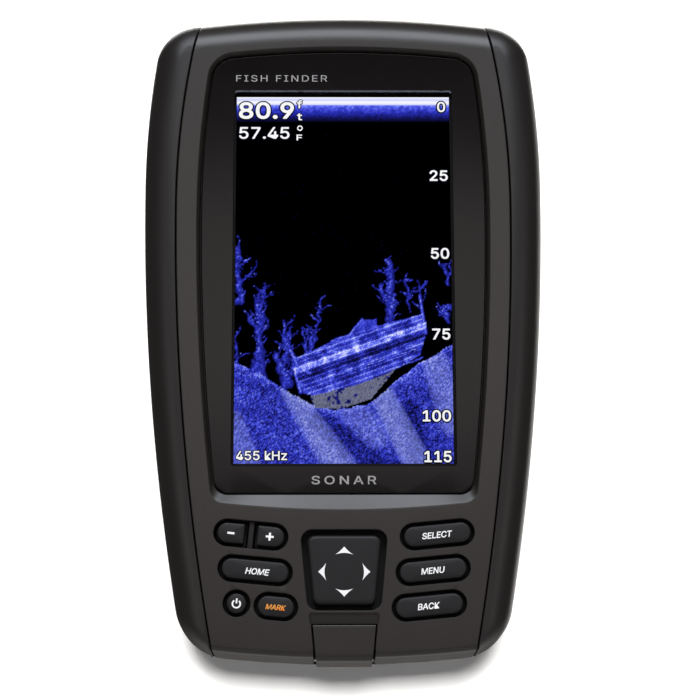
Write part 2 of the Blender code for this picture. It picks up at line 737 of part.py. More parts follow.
def make_rear_housing():
    housing = rear_envelope("rear_housing", 0.0, CASE_REAR_START, finish=REAR_BLACK, helper=False)
    seat = loft("seat_block", (
        (D_REAR_FACE - 6, box_outline(SEAT_HALF + SEAT_DRAFT, SEAT_BOTTOM - SEAT_DRAFT,
                                      SEAT_TOP + SEAT_DRAFT, SEAT_CORNER)),
        (CASE_DEPTH - 1.0, box_outline(SEAT_HALF, SEAT_BOTTOM, SEAT_TOP, SEAT_CORNER)),
        (CASE_DEPTH, box_outline(SEAT_HALF - 1.0, SEAT_BOTTOM + 1.0, SEAT_TOP - 1.0, SEAT_CORNER - 1.0))),
        helper=True)
    hollow = rear_envelope("rear_cavity", REAR_WALL, CASE_REAR_START - 2.0)
    seat_hollow = plate("seat_hollow", box_outline(SEAT_HALF - REAR_WALL, SEAT_BOTTOM + REAR_WALL,
                                                   SEAT_TOP - REAR_WALL, SEAT_CORNER - REAR_WALL),
                        CASE_REAR_START - 1.0, CASE_DEPTH - REAR_WALL, helper=True)
    join(housing, seat)
    cut(housing, hollow, seat_hollow)
    return housing


def add_screw_pillars(housing):
    trim = rear_envelope("pillar_limit", 0.3, CASE_REAR_START)
    for x, z in SCREW_POINTS:
        for side in (1, -1):
            pillar = rod(f"pillar_{x:g}_{side}", PILLAR_R, CASE_REAR_START, D_REAR_FACE + 1,
                         (x * side, z), sides=20, helper=True)
            combine(pillar, trim, "INTERSECT")
            join(housing, pillar)
    for x, z in SCREW_POINTS:
        for side in (1, -1):
            at = (x * side, z)
            shank = rod(f"shank_hole_{x:g}_{side}", SCREW_R + SCREW_CLEARANCE + 0.15, CASE_REAR_START - 2,
                        D_SCREW_SEAT + 1, at, sides=12, helper=True)
            head = rod(f"head_well_{x:g}_{side}", HEAD_WELL_R, D_SCREW_SEAT, D_REAR_FACE + 4, at,
                       sides=20, helper=True)
            cut(housing, shank, head)


def add_connector_bay(housing):
    floor = CASE_DEPTH - BAY_DEPTH
    walls = plate("bay_walls", box_outline(BAY_HALF + REAR_WALL, BAY_BOTTOM - REAR_WALL,
                                           BAY_TOP + REAR_WALL, BAY_CORNER + REAR_WALL),
                  floor - REAR_WALL, CASE_DEPTH - 1.0, helper=True)
    join(housing, walls)
    recess = plate("bay_recess", box_outline(BAY_HALF, BAY_BOTTOM, BAY_TOP, BAY_CORNER), floor,
                   CASE_DEPTH + 2, helper=True)
    cut(housing, recess)
    for name, x, _ in SOCKETS:
        hole = rod(name + "_socket_hole", SOCKET_R + 0.3, floor - REAR_WALL - 1, floor + 1,
                   (x, SOCKET_Z), sides=28, helper=True)
        cut(housing, hole)


def cut_rear_details(housing):
    for index, z in enumerate(HOOK_SLOT_Z):
        for side in (1, -1):
            inner = SEAT_HALF - HOOK_SLOT_DEPTH
            low = (min(side * inner, side * (SEAT_HALF + 6)), CASE_DEPTH - 6.5, z - HOOK_SLOT_LENGTH / 2)
            high = (max(side * inner, side * (SEAT_HALF + 6)), CASE_DEPTH - 6.5 + HOOK_SLOT_HEIGHT,
                    z + HOOK_SLOT_LENGTH / 2)
            cut(housing, block(f"hook_slot_{index}_{side}", low, high, helper=True))
    label_recess = block("label_recess", (LABEL_X - LABEL_HALF - 0.4, D_REAR_FACE - LABEL_THICK - 0.2,
                                          LABEL_Z - LABEL_HALF_HEIGHT - 0.4),
                         (LABEL_X + LABEL_HALF + 0.4, D_REAR_FACE + 2, LABEL_Z + LABEL_HALF_HEIGHT + 0.4),
                         helper=True)
    vent_hole = rod("vent_hole", VENT_R + 0.3, D_REAR_FACE - 0.9, D_REAR_FACE + 2, (VENT_X, VENT_Z),
                    sides=24, helper=True)
    vent_bore = rod("vent_bore", VENT_BORE_R, D_REAR_FACE - 5, D_REAR_FACE + 1, (VENT_X, VENT_Z), sides=12,
                    helper=True)
    cut(housing, label_recess, vent_hole, vent_bore)


# ---------------------------------------------------------------- display stack
def make_display():
    plate("display_lens", lens_outline(0.0), D_LENS, D_LENS + LENS_THICK, GLASS_BLACK)
    start = D_LENS + LENS_THICK + PART_GAP
    seal = plate("lens_seal", lens_outline(-0.4), start, start + LENS_SEAL_THICK, SEAL_RUBBER)
    inside = plate("lens_seal_inside", lens_outline(-0.4 - LENS_SEAL_WIDTH), start - 1,
                   start + LENS_SEAL_THICK + 1, helper=True)
    cut(seal, inside)

    low = SCREEN_Z - PANEL_HEIGHT / 2
    high = SCREEN_Z + PANEL_HEIGHT / 2
    half = PANEL_WIDTH / 2
    block("lcd_panel", (-half, D_PANEL, low), (half, D_PANEL + PANEL_THICK, high), PANEL_BLUE)
    tray_back = D_PANEL + TRAY_THICK + TRAY_WALL
    tray = block("backlight_tray", (-half - TRAY_RIM, D_PANEL + 0.1, low - TRAY_RIM),
                 (half + TRAY_RIM, tray_back, high + TRAY_RIM), STEEL)
    tray_inside = block("tray_inside", (-half - 0.2, D_PANEL - 1, low - 0.2),
                        (half + 0.2, D_PANEL + PANEL_THICK + PART_GAP, high + 0.2), helper=True)
    cut(tray, tray_inside)

    edge = half + TRAY_RIM + PART_GAP
    foot = low - TRAY_RIM - PART_GAP
    head = high + TRAY_RIM + PART_GAP
    wall = CARRIER_WALL
    carrier = block("display_carrier", (-edge - CARRIER_MARGIN, D_CARRIER - CARRIER_RIM, foot - CARRIER_MARGIN),
                    (edge + CARRIER_MARGIN, D_CARRIER + wall, head + CARRIER_MARGIN), INNER_GREY)
    carrier_inside = block("carrier_inside", (-edge, D_CARRIER - 4, foot), (edge, D_CARRIER, head), helper=True)
    carrier_window = block("carrier_window", (-22.0, D_CARRIER - 4, low + 22),
                           (22.0, D_CARRIER + 4, high - 18), helper=True)
    cut(carrier, carrier_inside, carrier_window)
    for x, z in BOARD_SCREW_POINTS:
        for side in (1, -1):
            at = (x * side, z)
            stand = rod(f"standoff_{x:g}_{z:g}_{side}", 2.4, D_CARRIER + wall - 0.5, D_BOARD - PART_GAP, at,
                        sides=14, helper=True)
            join(carrier, stand)
    for x, z in BOARD_SCREW_POINTS:
        for side in (1, -1):
            hole = rod(f"standoff_hole_{x:g}_{z:g}_{side}", 1.05, D_CARRIER + 0.4, D_BOARD + 1, (x * side, z),
                       sides=10, helper=True)
            cut(carrier, hole)


def make_main_board():
    board = plate("main_board", box_outline(BOARD_HALF_WIDTH, BOARD_BOTTOM, BOARD_TOP, 3.0), D_BOARD,
                  D_BOARD + BOARD_THICK, BOARD_GREEN)
    for number, (x, z) in enumerate(BOARD_SCREW_POINTS):
        for side in (1, -1):
            at = (x * side, z)
            hole = rod(f"board_hole_{number}_{side}", 1.15, D_BOARD - 1, D_BOARD + BOARD_THICK + 1, at,
                       sides=10, helper=True)
            cut(board, hole)
    back = D_BOARD + BOARD_THICK + PART_GAP
    for number, (x, z) in enumerate((x * s, z) for x, z in BOARD_SCREW_POINTS for s in (1, -1)):
        make_screw(f"board_screw_{number + 1}", (x, z), D_BOARD - 2.0, back, 0.85, 1.8, 1.2, 10)
    left, right, bottom, top, height = SHIELD
    block("board_shield", (left, back, bottom), (right, back + height, top), STEEL, bevel=0.6)
    half, bottom, top, height = ANTENNA
    plate("gps_antenna", box_outline(half, bottom, top, 1.0, 2), back, back + height, CERAMIC)
    x, z, radius, height = BEEPER
    rod("beeper", radius, back, back + height, (x, z), INNER_GREY, sides=24)


def make_screw(name, at, tip, seat, shank_radius, head_radius, head_height, sides=14):
    """A pan-head screw seen from the back, with a six-sided drive recess."""
    screw = rod(name, head_radius, seat, seat + head_height, at, STEEL, sides=sides)
    screw_shank = rod(name + "_shank", shank_radius, tip, seat + head_height / 2, at, sides=sides - 4,
                      helper=True)
    drive = rod(name + "_drive", head_radius * 0.5, seat + head_height * 0.4, seat + head_height + 1, at,
                sides=6, helper=True)
    join(screw, screw_shank)
    cut(screw, drive)
    return screw


def ribbon(name, path, thickness, half_width, finish):
    """A flat flexible strip: a bent side profile in depth and Z, extruded along X."""
    points = np.array(path, float)
    along = np.gradient(points, axis=0)
    along /= np.linalg.norm(along, axis=1)[:, None]
    normal = np.stack([along[:, 1], -along[:, 0]], axis=1) * thickness / 2
    outline = [tuple(p) for p in points + normal] + [tuple(p) for p in (points - normal)[::-1]]
    build = bmesh.new()
    rings = [[build.verts.new((x, depth_y(d), z)) for d, z in outline] for x in (-half_width, half_width)]
    count = len(outline)
    for i in range(count):
        j = (i + 1) % count
        build.faces.new((rings[0][i], rings[0][j], rings[1][j], rings[1][i]))
    for ring in rings:
        build.faces.new(ring)
    return finish_mesh(build, name, finish, (0.0, 0.0, 0.0), 0.0, False)


def turn_path(start, centre, radius, angles, end):
    """A path that runs straight, turns round a centre and runs straight again, in depth and Z."""
    turn = [(centre[0] + radius * math.cos(math.radians(a)), centre[1] + radius * math.sin(math.radians(a)))
            for a in angles]
    return [start] + turn + [end]


def make_ribbons():
    lower = SCREEN_Z - PANEL_HEIGHT / 2
    centre = ((D_PANEL + D_BOARD) / 2 + 0.2, lower - 3.2)
    radius = (D_BOARD - D_PANEL) / 2 - 0.6
    path = turn_path((centre[0] - radius, lower - 1.4), centre, radius, (200, 225, 250, 270, 290, 315, 340),
                     (centre[0] + radius, lower + 2.0))
    ribbon("display_ribbon", path, RIBBON_THICK, DISPLAY_RIBBON_HALF, RIBBON)
    top = D_KEY_BOARD + KEY_BOARD_THICK + PART_GAP
    edge = MAT_TOP
    path = ((top + 0.2, edge - 1.4), (top + 1.2, edge - 0.2), (D_BOARD - 1.0, edge + 0.6),
            (D_BOARD - 0.3, edge + 1.6), (D_BOARD - 0.3, edge + 6.1))
    keypad_strip = ribbon("keypad_ribbon", path, RIBBON_THICK, KEYPAD_RIBBON_HALF, RIBBON)
    keypad_strip.location.x = KEYPAD_RIBBON_X * MM


# ---------------------------------------------------------------- keypad
def make_keys():
    top = -KEY_PROUD
    flange_front = KEY_WALL + KEY_UNDER_WALL
    flange_back = flange_front + KEY_FLANGE_THICK
    for name, x, z, tilt, outline in key_places():
        edge = grown(outline, -KEY_EDGE)
        cap = loft(name, ((top, edge), (top + KEY_EDGE, outline), (flange_front, outline)), KEY_RUBBER,
                   place=(x, 0.0, z), tilt=tilt)
        flange_outline = grown(outline, KEY_FLANGE)
        if "zoom" in name:
            side = 1 if name == "zoom_in_key" else -1
            limit = KEY_LENGTH / 2 + KEY_FLANGE
            flange_outline = half_pill(2 * limit, KEY_HEIGHT + 2 * KEY_FLANGE, ZOOM_RIB, side)
        flange = plate(name + "_flange", flange_outline, flange_front - 0.1, flange_back,
                       place=(x, 0.0, z), tilt=tilt, helper=True)
        middle = middle_x(outline)
        plunger = rod(name + "_plunger", PLUNGER_R, flange_back - 0.2, flange_back + PLUNGER_LENGTH,
                      (middle, 0.0), sides=12, helper=True)
        plunger.location = (x * MM, 0.0, z * MM)
        plunger.rotation_euler = (0.0, math.radians(tilt), 0.0)
        join(cap, flange, plunger)


def make_pad():
    """The four-way pad: its cap tilts on a rocker plate, which rocks on a fixed post."""
    edge = grown(pad_outline(0.0), -PAD_EDGE)
    flange_front = KEY_WALL + PAD_UNDER_WALL
    cap = loft("direction_pad", ((-PAD_PROUD, edge), (-PAD_PROUD + PAD_EDGE, pad_outline(0.0)),
                                 (flange_front, pad_outline(0.0))), KEY_RUBBER, place=(0.0, 0.0, PAD_Z))
    flange = plate("pad_flange", pad_outline(PAD_FLANGE), flange_front - 0.1,
                   flange_front + PAD_FLANGE_THICK, place=(0.0, 0.0, PAD_Z), helper=True)
    join(cap, flange)
    foot_start = flange_front + PAD_FLANGE_THICK
    for number, (right, up) in enumerate(((0, 1), (1, 0), (0, -1), (-1, 0))):
        foot = rod(f"pad_foot_{number}", PAD_FOOT_R, foot_start - 0.2, foot_start + PAD_FOOT_LENGTH,
                   (right * PAD_FOOT, up * PAD_FOOT + PAD_Z), sides=10, helper=True)
        join(cap, foot)
    move_origin(cap, 0.0, D_PAD_PIVOT, PAD_Z)
    rocker_back = D_PAD_PIVOT - 0.1
    rocker = rod("pad_rocker", ROCKER_R, rocker_back - ROCKER_THICK, rocker_back, (0.0, PAD_Z), INNER_GREY,
                 sides=24)
    move_origin(rocker, 0.0, D_PAD_PIVOT, PAD_Z)
    rod("pad_pivot_post", PIVOT_POST_R, D_PAD_PIVOT, D_KEY_BOARD - PART_GAP, (0.0, PAD_Z), INNER_GREY,
        sides=16, top_radius=PIVOT_BASE_R)


def make_keypad_base():
    outline = box_outline(MAT_HALF, MAT_BOTTOM, MAT_TOP, 2.5)
    mat = plate("keypad_mat", outline, D_MAT, D_MAT + MAT_THICK, SEAL_RUBBER)
    for name, x, z, tilt, shape in key_places():
        middle = middle_x(shape)
        turn = math.radians(tilt)
        at = (x + middle * math.cos(turn), z - middle * math.sin(turn))
        dome = rod(name + "_dome", MAT_DOME_R, D_MAT - MAT_DOME, D_MAT + MAT_THICK / 2, at, sides=12, helper=True)
        join(mat, dome)
    hole = rod("mat_hole", MAT_HOLE_R, D_MAT - 1, D_MAT + MAT_THICK + 1, (0.0, PAD_Z), sides=20, helper=True)
    cut(mat, hole)
    plate("keypad_board", outline, D_KEY_BOARD, D_KEY_BOARD + KEY_BOARD_THICK, BOARD_GREEN)


# ---------------------------------------------------------------- card door, card and its socket
def make_card_door():
    """An L-shaped flap that wraps the bottom edge, with its hinge in the rounded heel at its rear end."""
    end = D_DOOR_PIVOT
    door = door_solid("card_door", -DOOR_FACE_PROUD, -DOOR_PROUD, end, CHARCOAL)
    inner = door_solid("door_inner", DOOR_WALL - DOOR_FACE_PROUD, DOOR_WALL - DOOR_PROUD, end + 1, None)
    strip = plate("door_strip", door_outline(0.0, DOOR_TOP, CASE_BOTTOM - 6), -4.0, end, helper=True)
    heel = cross_rod("door_heel", HEEL_R, DOOR_HALF_BOTTOM - 0.1, end, DOOR_PIVOT_Z, sides=24, helper=True)
    bore = cross_rod("heel_bore", PIN_R + PIN_CLEARANCE, DOOR_HALF_TOP + 1, end, DOOR_PIVOT_Z, helper=True)
    combine(door, strip, "INTERSECT")
    cut(door, inner)
    join(door, heel)
    cut(door, bore)
    move_origin(door, 0.0, end, DOOR_PIVOT_Z)
    cross_rod("door_hinge_pin", PIN_R, PIN_LENGTH / 2, end, DOOR_PIVOT_Z, STEEL)
    front = DOOR_WALL - DOOR_FACE_PROUD + PART_GAP
    seal = plate("door_seal", box_outline(DOOR_HALF_BOTTOM - 0.8, CASE_BOTTOM + 3.0, DOOR_TOP - 0.6, 1.2, 2),
                 front, front + 1.2, SEAL_RUBBER)
    move_origin(seal, 0.0, end, DOOR_PIVOT_Z)


def door_solid(name, front_offset, under_offset, end, finish):
    """The case's lower front corner as a solid, moved in or out at the front and underneath."""
    sections = []
    for depth in (front_offset, front_offset + BOTTOM_EDGE * 0.3, front_offset + BOTTOM_EDGE, end):
        under = quarter_round(depth - front_offset, BOTTOM_EDGE, BOTTOM_EDGE) + under_offset
        sections.append((depth, box_outline(LONG / 2, CASE_BOTTOM + under, 0.0, 2.0, 2)))
    return loft(name, sections, finish, helper=finish is None)


def make_card():
    top = DOOR_TOP + DOOR_GAP - CARD_PROUD + CARD_LENGTH
    bottom = top - CARD_LENGTH
    half_thick = CARD_THICK / 2
    block("memory_card", (-CARD_WIDTH / 2, D_CARD - half_thick, bottom),
          (CARD_WIDTH / 2, D_CARD + half_thick, top), INNER_GREY, bevel=0.2)
    socket_bottom = DOOR_TOP + DOOR_GAP + POCKET_WALL + 0.3
    half = CARD_WIDTH / 2 + CARD_CLEARANCE
    low_d = D_CARD - half_thick - 0.15
    high_d = D_CARD + half_thick + 0.15
    end = top + CARD_OVERTRAVEL
    socket = block("card_socket", (-half - SOCKET_WALL * 2, low_d - SOCKET_WALL, socket_bottom),
                   (half + SOCKET_WALL * 2, high_d + SOCKET_WALL, end + SOCKET_WALL), STEEL)
    inside = block("socket_inside", (-half, low_d, socket_bottom - 2), (half, high_d, end), helper=True)
    cut(socket, inside)


# ---------------------------------------------------------------- seals, screws, rear fittings
def make_case_seal():
    front = CASE_FRONT_END + 0.05
    back = CASE_REAR_START - 0.05
    outer = INNER_OFFSET + 0.3
    inner = CAVITY_OFFSET - 0.2
    seal = plate("case_seal", case_outline(outer, outer, outer), front, back, SEAL_RUBBER)
    inside = plate("case_seal_inside", case_outline(inner, inner, inner), front - 1, back + 1, helper=True)
    cut(seal, inside)


def make_case_screws():
    number = 0
    for x, z in SCREW_POINTS:
        for side in (1, -1):
            number += 1
            make_screw(f"case_screw_{number}", (x * side, z), SCREW_TIP, D_SCREW_SEAT + PART_GAP, SCREW_R,
                       SCREW_HEAD_R, SCREW_HEAD)


def make_sockets():
    floor = CASE_DEPTH - BAY_DEPTH
    inside_face = floor - REAR_WALL
    ring_space = 2 * O_RING_R + 0.2
    for name, x, pins in SOCKETS:
        at = (x, SOCKET_Z)
        rim = floor + SOCKET_HEIGHT
        socket = rod(name + "_socket", SOCKET_R, inside_face - ring_space - 1, rim, at, REAR_BLACK, sides=28)
        flange = rod(name + "_socket_flange", SOCKET_FLANGE_R, inside_face - ring_space - SOCKET_BODY,
                     inside_face - ring_space, at, sides=28, helper=True)
        bore = rod(name + "_socket_bore", SOCKET_BORE, inside_face - ring_space - SOCKET_BODY - 1, rim + 1, at,
                   sides=24, helper=True)
        key = block(name + "_socket_key", (x - 1.0, inside_face, SOCKET_Z + SOCKET_BORE - 0.9),
                    (x + 1.0, rim - 1.5, SOCKET_Z + SOCKET_BORE + 0.6), helper=True)
        join(socket, flange)
        cut(socket, bore)
        join(socket, key)
        carrier_back = inside_face - 1.0
        contacts = rod(name + "_contacts", SOCKET_BORE - 0.15, inside_face - ring_space - SOCKET_BODY + 0.5,
                       carrier_back, at, BRASS, sides=20)
        for i in range(pins):
            angle = 2 * math.pi * (i + 0.5) / pins
            pin = rod(f"{name}_pin_{i}", CONTACT_R, carrier_back - 1, carrier_back + CONTACT_LENGTH,
                      (x + CONTACT_CIRCLE * math.cos(angle), SOCKET_Z + CONTACT_CIRCLE * math.sin(angle)),
                      sides=8, helper=True)
            join(contacts, pin)
        make_o_ring(name + "_socket_seal", at, inside_face - ring_space / 2)


def make_o_ring(name, at, depth):
    bpy.ops.mesh.primitive_torus_add(major_segments=24, minor_segments=8,
                                     major_radius=(SOCKET_R + O_RING_R + 0.1) * MM,
                                     minor_radius=O_RING_R * MM, rotation=(math.pi / 2, 0.0, 0.0),
                                     location=(at[0] * MM, depth_y(depth) * MM, at[1] * MM))
    return keep(bpy.context.object, name, SEAL_RUBBER)


def harness(name, points, radius):
    """A short inner lead, as a bevelled curve through its own points."""
    curve = bpy.data.curves.new(name, "CURVE")
    curve.dimensions = "3D"
    curve.bevel_depth = radius * MM
    curve.bevel_resolution = 2
    curve.use_fill_caps = True
    route = smooth_route(points, 16)
    spline = curve.splines.new("POLY")
    spline.points.add(len(route) - 1)
    for point, (x, depth, z) in zip(spline.points, route):
        point.co = (x * MM, depth_y(depth) * MM, z * MM, 1.0)
    obj = bpy.data.objects.new(name, curve)
    bpy.context.scene.collection.objects.link(obj)
    return keep(obj, name, SEAL_RUBBER)


def smooth_route(points, count):
    """Points along a smooth curve through the given ones (Catmull-Rom)."""
    p = np.array(points, float)
    p = np.vstack([2 * p[0] - p[1], p, 2 * p[-1] - p[-2]])
    made = []
    for s in np.linspace(0, len(p) - 3 - 1e-6, count):
        i = int(s)
        t = s - i
        a, b, c, d = p[i:i + 4]
        made.append(0.5 * (2 * b + (c - a) * t + (2 * a - 5 * b + 4 * c - d) * t ** 2
                           + (3 * b - a - 3 * c + d) * t ** 3))
    return made


def make_rear_fittings():
    rod("vent_plug", VENT_R, D_REAR_FACE - 0.8, D_REAR_FACE + 0.5, (VENT_X, VENT_Z), SEAL_RUBBER, sides=24,
        top_radius=VENT_R - 0.5)
    block("rating_label", (LABEL_X - LABEL_HALF, D_REAR_FACE - LABEL_THICK - 0.1, LABEL_Z - LABEL_HALF_HEIGHT),
          (LABEL_X + LABEL_HALF, D_REAR_FACE - 0.1, LABEL_Z + LABEL_HALF_HEIGHT), LABEL_GREY)
    socket_face = CASE_DEPTH - BAY_DEPTH - REAR_WALL - (2 * O_RING_R + 0.2) - SOCKET_BODY
    board_face = D_BOARD + BOARD_THICK
    between = (socket_face + board_face) / 2
    for name, x, _ in SOCKETS:
        lead = 1 if x > 0 else -1
        start = socket_face - PART_GAP - 0.1
        route = ((x, start, SOCKET_Z), (x, start - 1.8, SOCKET_Z),
                 (x + 4 * lead, min(between, start - 4.6), SOCKET_Z + 7),
                 (x + 6 * lead, board_face + 3.8, SOCKET_Z + 14),
                 (x + 7 * lead, board_face + 2.4, SOCKET_Z + 17),
                 (x + 7 * lead, board_face + 0.3, SOCKET_Z + 17))
        harness(name + "_harness", route, HARNESS_R)


bezel = make_front_bezel()
cut_display_opening(bezel)
cut_keypad(bezel)
add_door_pocket(bezel)
add_front_bosses(bezel)
make_rail("right_side_rail", 1)
make_rail("left_side_rail", -1)
rear = make_rear_housing()
add_screw_pillars(rear)
add_connector_bay(rear)
cut_rear_details(rear)
make_display()
make_main_board()
make_ribbons()
make_keys()
make_pad()
make_keypad_base()
make_card_door()
make_card()
make_case_seal()
make_case_screws()
make_sockets()
make_rear_fittings()
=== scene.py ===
import json
import math
import os

import bmesh
import bpy
import numpy as np
from mathutils import Matrix
from mathutils.geometry import delaunay_2d_cdt, tessellate_polygon


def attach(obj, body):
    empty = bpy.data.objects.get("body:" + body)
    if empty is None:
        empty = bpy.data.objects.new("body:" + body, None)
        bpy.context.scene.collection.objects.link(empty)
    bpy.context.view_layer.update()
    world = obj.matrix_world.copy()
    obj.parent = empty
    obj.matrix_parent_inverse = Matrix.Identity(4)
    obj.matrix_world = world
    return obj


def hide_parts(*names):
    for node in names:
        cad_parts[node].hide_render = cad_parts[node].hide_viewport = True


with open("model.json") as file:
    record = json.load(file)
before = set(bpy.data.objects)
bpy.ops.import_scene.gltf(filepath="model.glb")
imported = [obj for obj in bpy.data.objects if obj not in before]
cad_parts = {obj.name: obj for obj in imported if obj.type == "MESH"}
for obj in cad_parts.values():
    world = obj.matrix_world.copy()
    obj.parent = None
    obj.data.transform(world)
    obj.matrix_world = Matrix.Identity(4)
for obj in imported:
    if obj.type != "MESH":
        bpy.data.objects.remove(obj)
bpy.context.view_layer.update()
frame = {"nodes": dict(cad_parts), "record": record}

# Lengths are in millimetres until a mesh is made. A depth is measured back from the bezel's crest.
mm = 0.001
case = {
    "depth": 44.0, "top": 82.6, "bottom": -82.0, "halfWidth": 50.0, "widestZ": 38.0,
    "sideUpper": 230.0, "sideLower": 625.0, "topBow": 290.0, "bottomBow": 277.0,
    "cornerTop": 11.0, "cornerBottom": 13.0, "rollSide": 8.2, "rollTop": 8.8, "rollDepth": 9.0,
    "bottomRoll": 1.3, "frontEnd": 15.7, "seamHalf": 41.5, "seamZ": 31.0,
    "seamUpper": 215.0, "seamLower": 617.0, "seamGap": 0.3,
}
screen = {"width": 53.86, "height": 95.04, "z": 13.0, "depth": 5.2}


def toFrame(x, depth, z):
    return np.stack(np.broadcast_arrays(x * mm, (depth - case["depth"]) * mm, z * mm), axis=-1)


def bow(t, peak, centre, upper, lower=None):
    # a shallow arc: the peak less the distance from it squared, over twice the radius
    radius = np.where(np.asarray(t) > centre, upper, upper if lower is None else lower)
    return peak - (t - centre) ** 2 / (2 * radius)


def sideX(z, inset=0.0):
    return bow(z, case["halfWidth"] - inset, case["widestZ"], case["sideUpper"], case["sideLower"])


def topZ(x, inset=0.0):
    return bow(x, case["top"] - inset, 0.0, case["topBow"])


def bottomZ(x, inset=0.0):
    return -bow(x, -case["bottom"] - inset, 0.0, case["bottomBow"])


def seamX(z):
    return bow(z, case["seamHalf"], case["seamZ"], case["seamUpper"], case["seamLower"])


def slope(curve, t):
    return float((curve(t + 0.01) - curve(t - 0.01)) / 0.02)


def cornerArc(side, edge, radius, steps, sign):
    x, z = float(side(0.0)), float(edge(0.0))
    for _ in range(40):
        z = float(edge(x)) - sign * radius * math.hypot(1.0, slope(edge, x))
        x = float(side(z)) - radius * math.hypot(1.0, slope(side, z))
    start = math.atan2(-slope(side, z), 1.0)
    end = math.atan2(sign, -sign * slope(edge, x))
    angle = np.linspace(start, end, steps + 1)
    return np.stack([x + radius * np.cos(angle), z + radius * np.sin(angle)], axis=-1)


def halfLoop(side, top, bottom, topRadius, bottomRadius, edgeSteps=14, sideSteps=40, arcSteps=12):
    # from the bottom's middle, round the right side, to the top's middle
    low = cornerArc(side, bottom, bottomRadius, arcSteps, -1.0)[::-1]
    high = cornerArc(side, top, topRadius, arcSteps, 1.0)
    xLow = np.linspace(0.0, low[0, 0], edgeSteps + 1)[:-1]
    xHigh = np.linspace(high[-1, 0], 0.0, edgeSteps + 1)[1:]
    zSide = np.linspace(low[-1, 1], high[0, 1], sideSteps + 1)[1:-1]
    return np.concatenate([
        np.stack([xLow, bottom(xLow) + 0 * xLow], -1), low,
        np.stack([side(zSide) + 0 * zSide, zSide], -1), high,
        np.stack([xHigh, top(xHigh) + 0 * xHigh], -1)])


def mirrored(half):
    return np.concatenate([half, half[-2:0:-1] * (-1.0, 1.0)])


def boxLoop(halfX, low, high, radius, arcSteps=6, sideSteps=1, edgeSteps=1):
    return mirrored(halfLoop(lambda z: halfX, lambda x: high, lambda x: low, radius, radius,
                             edgeSteps, sideSteps, arcSteps))


def pillLoop(length, height, steps=20):
    radius = height / 2
    angle = np.linspace(-math.pi / 2, math.pi / 2, steps + 1)
    right = np.stack([length / 2 - radius + radius * np.cos(angle), radius * np.sin(angle)], -1)
    return np.concatenate([right, -right])


def halfPillLoop(length, height, start, side, corner, grow, steps=18):
    # a pill's outer half; its straight end stands at start from the middle
    radius = height / 2 + grow
    corner = max(corner + grow, 0.15)
    big = np.linspace(-math.pi / 2, math.pi / 2, steps + 1)
    small = np.linspace(0, math.pi / 2, 6)
    near = start - grow
    reach = length / 2 + grow - radius
    ends = np.stack([near + corner - corner * np.cos(small), -radius + corner - corner * np.sin(small)], -1)
    bulge = np.stack([reach + radius * np.cos(big), radius * np.sin(big)], -1)
    loop = np.concatenate([ends, bulge, ends[::-1] * (1.0, -1.0)])
    return loop if side > 0 else loop[::-1] * (-1.0, 1.0)


def gridFaces(rows, columns, closed=False):
    i = np.arange(rows - 1)[:, None]
    j = np.arange(columns if closed else columns - 1)[None, :]
    a = i * columns + j
    b = i * columns + (j + 1) % columns
    return np.stack([a, b, b + columns, a + columns], -1).reshape(-1, 4)


def gridPart(points, closed=False, mark=0):
    rows, columns = points.shape[:2]
    return points.reshape(-1, 3), gridFaces(rows, columns, closed), mark


def insideLoop(points, loop):
    # even-odd rule: a point is inside if a ray to the right crosses the loop an odd number of times
    ax, az = loop[:, 0], loop[:, 1]
    bx, bz = np.roll(ax, -1), np.roll(az, -1)
    px, pz = points[:, :1], points[:, 1:]
    crosses = (az > pz) != (bz > pz)
    rise = np.where(np.abs(bz - az) < 1e-12, 1e-12, bz - az)
    at = ax + (pz - az) * (bx - ax) / rise
    return (crosses & (px < at)).sum(axis=1) % 2 == 1


def flatPart(outer, holes, depth):
    # a flat face in X and Z with holes, as constrained triangles
    loops = [outer, *holes]
    points = np.concatenate(loops)
    edges, start = [], 0
    for loop in loops:
        index = np.arange(len(loop))
        edges.append(np.stack([index + start, np.roll(index, -1) + start], -1))
        start += len(loop)
    made = delaunay_2d_cdt([tuple(p) for p in points.tolist()],
                           np.concatenate(edges).tolist(), [], 0, 1e-6)
    flat = np.array([tuple(p) for p in made[0]])
    faces = np.array(made[2])
    middle = flat[faces].mean(axis=1)
    keep = insideLoop(middle, outer)
    for hole in holes:
        keep &= ~insideLoop(middle, hole)
    return toFrame(flat[:, 0], depth, flat[:, 1]), faces[keep], 0


def ringsPart(loopAt, levels, place=(0.0, 0.0), tilt=0.0, mark=0):
    # rings of one outline: each level is (grow, scale, depth)
    rings = []
    turn = math.radians(tilt)
    for grow, scale, depth in levels:
        loop = loopAt(grow)
        centre = loop.mean(axis=0)
        loop = centre + (loop - centre) * scale
        x = loop[:, 0] * math.cos(turn) + loop[:, 1] * math.sin(turn) + place[0]
        z = -loop[:, 0] * math.sin(turn) + loop[:, 1] * math.cos(turn) + place[1]
        rings.append(toFrame(x, depth, z))
    return gridPart(np.array(rings), True, mark)


flangeThick = 0.8


def capLevels(top, crown, radius, bottom, steps=6, flange=None):
    # a shallow crown, a rounded edge and a straight wall
    levels = [(-radius, s, top - crown * (1 - s * s)) for s in (0.0, 0.25, 0.5, 0.7, 0.85, 0.95, 1.0)]
    angle = np.linspace(0, math.pi / 2, steps + 1)[1:]
    levels += [(-radius + radius * math.sin(a), 1.0, top + radius * (1 - math.cos(a))) for a in angle]
    levels += [(0.0, 1.0, bottom)]
    if flange:
        back = bottom + flangeThick
        levels += [(flange, 1.0, bottom), (flange, 1.0, back), (flange, 0.0, back)]
    return levels


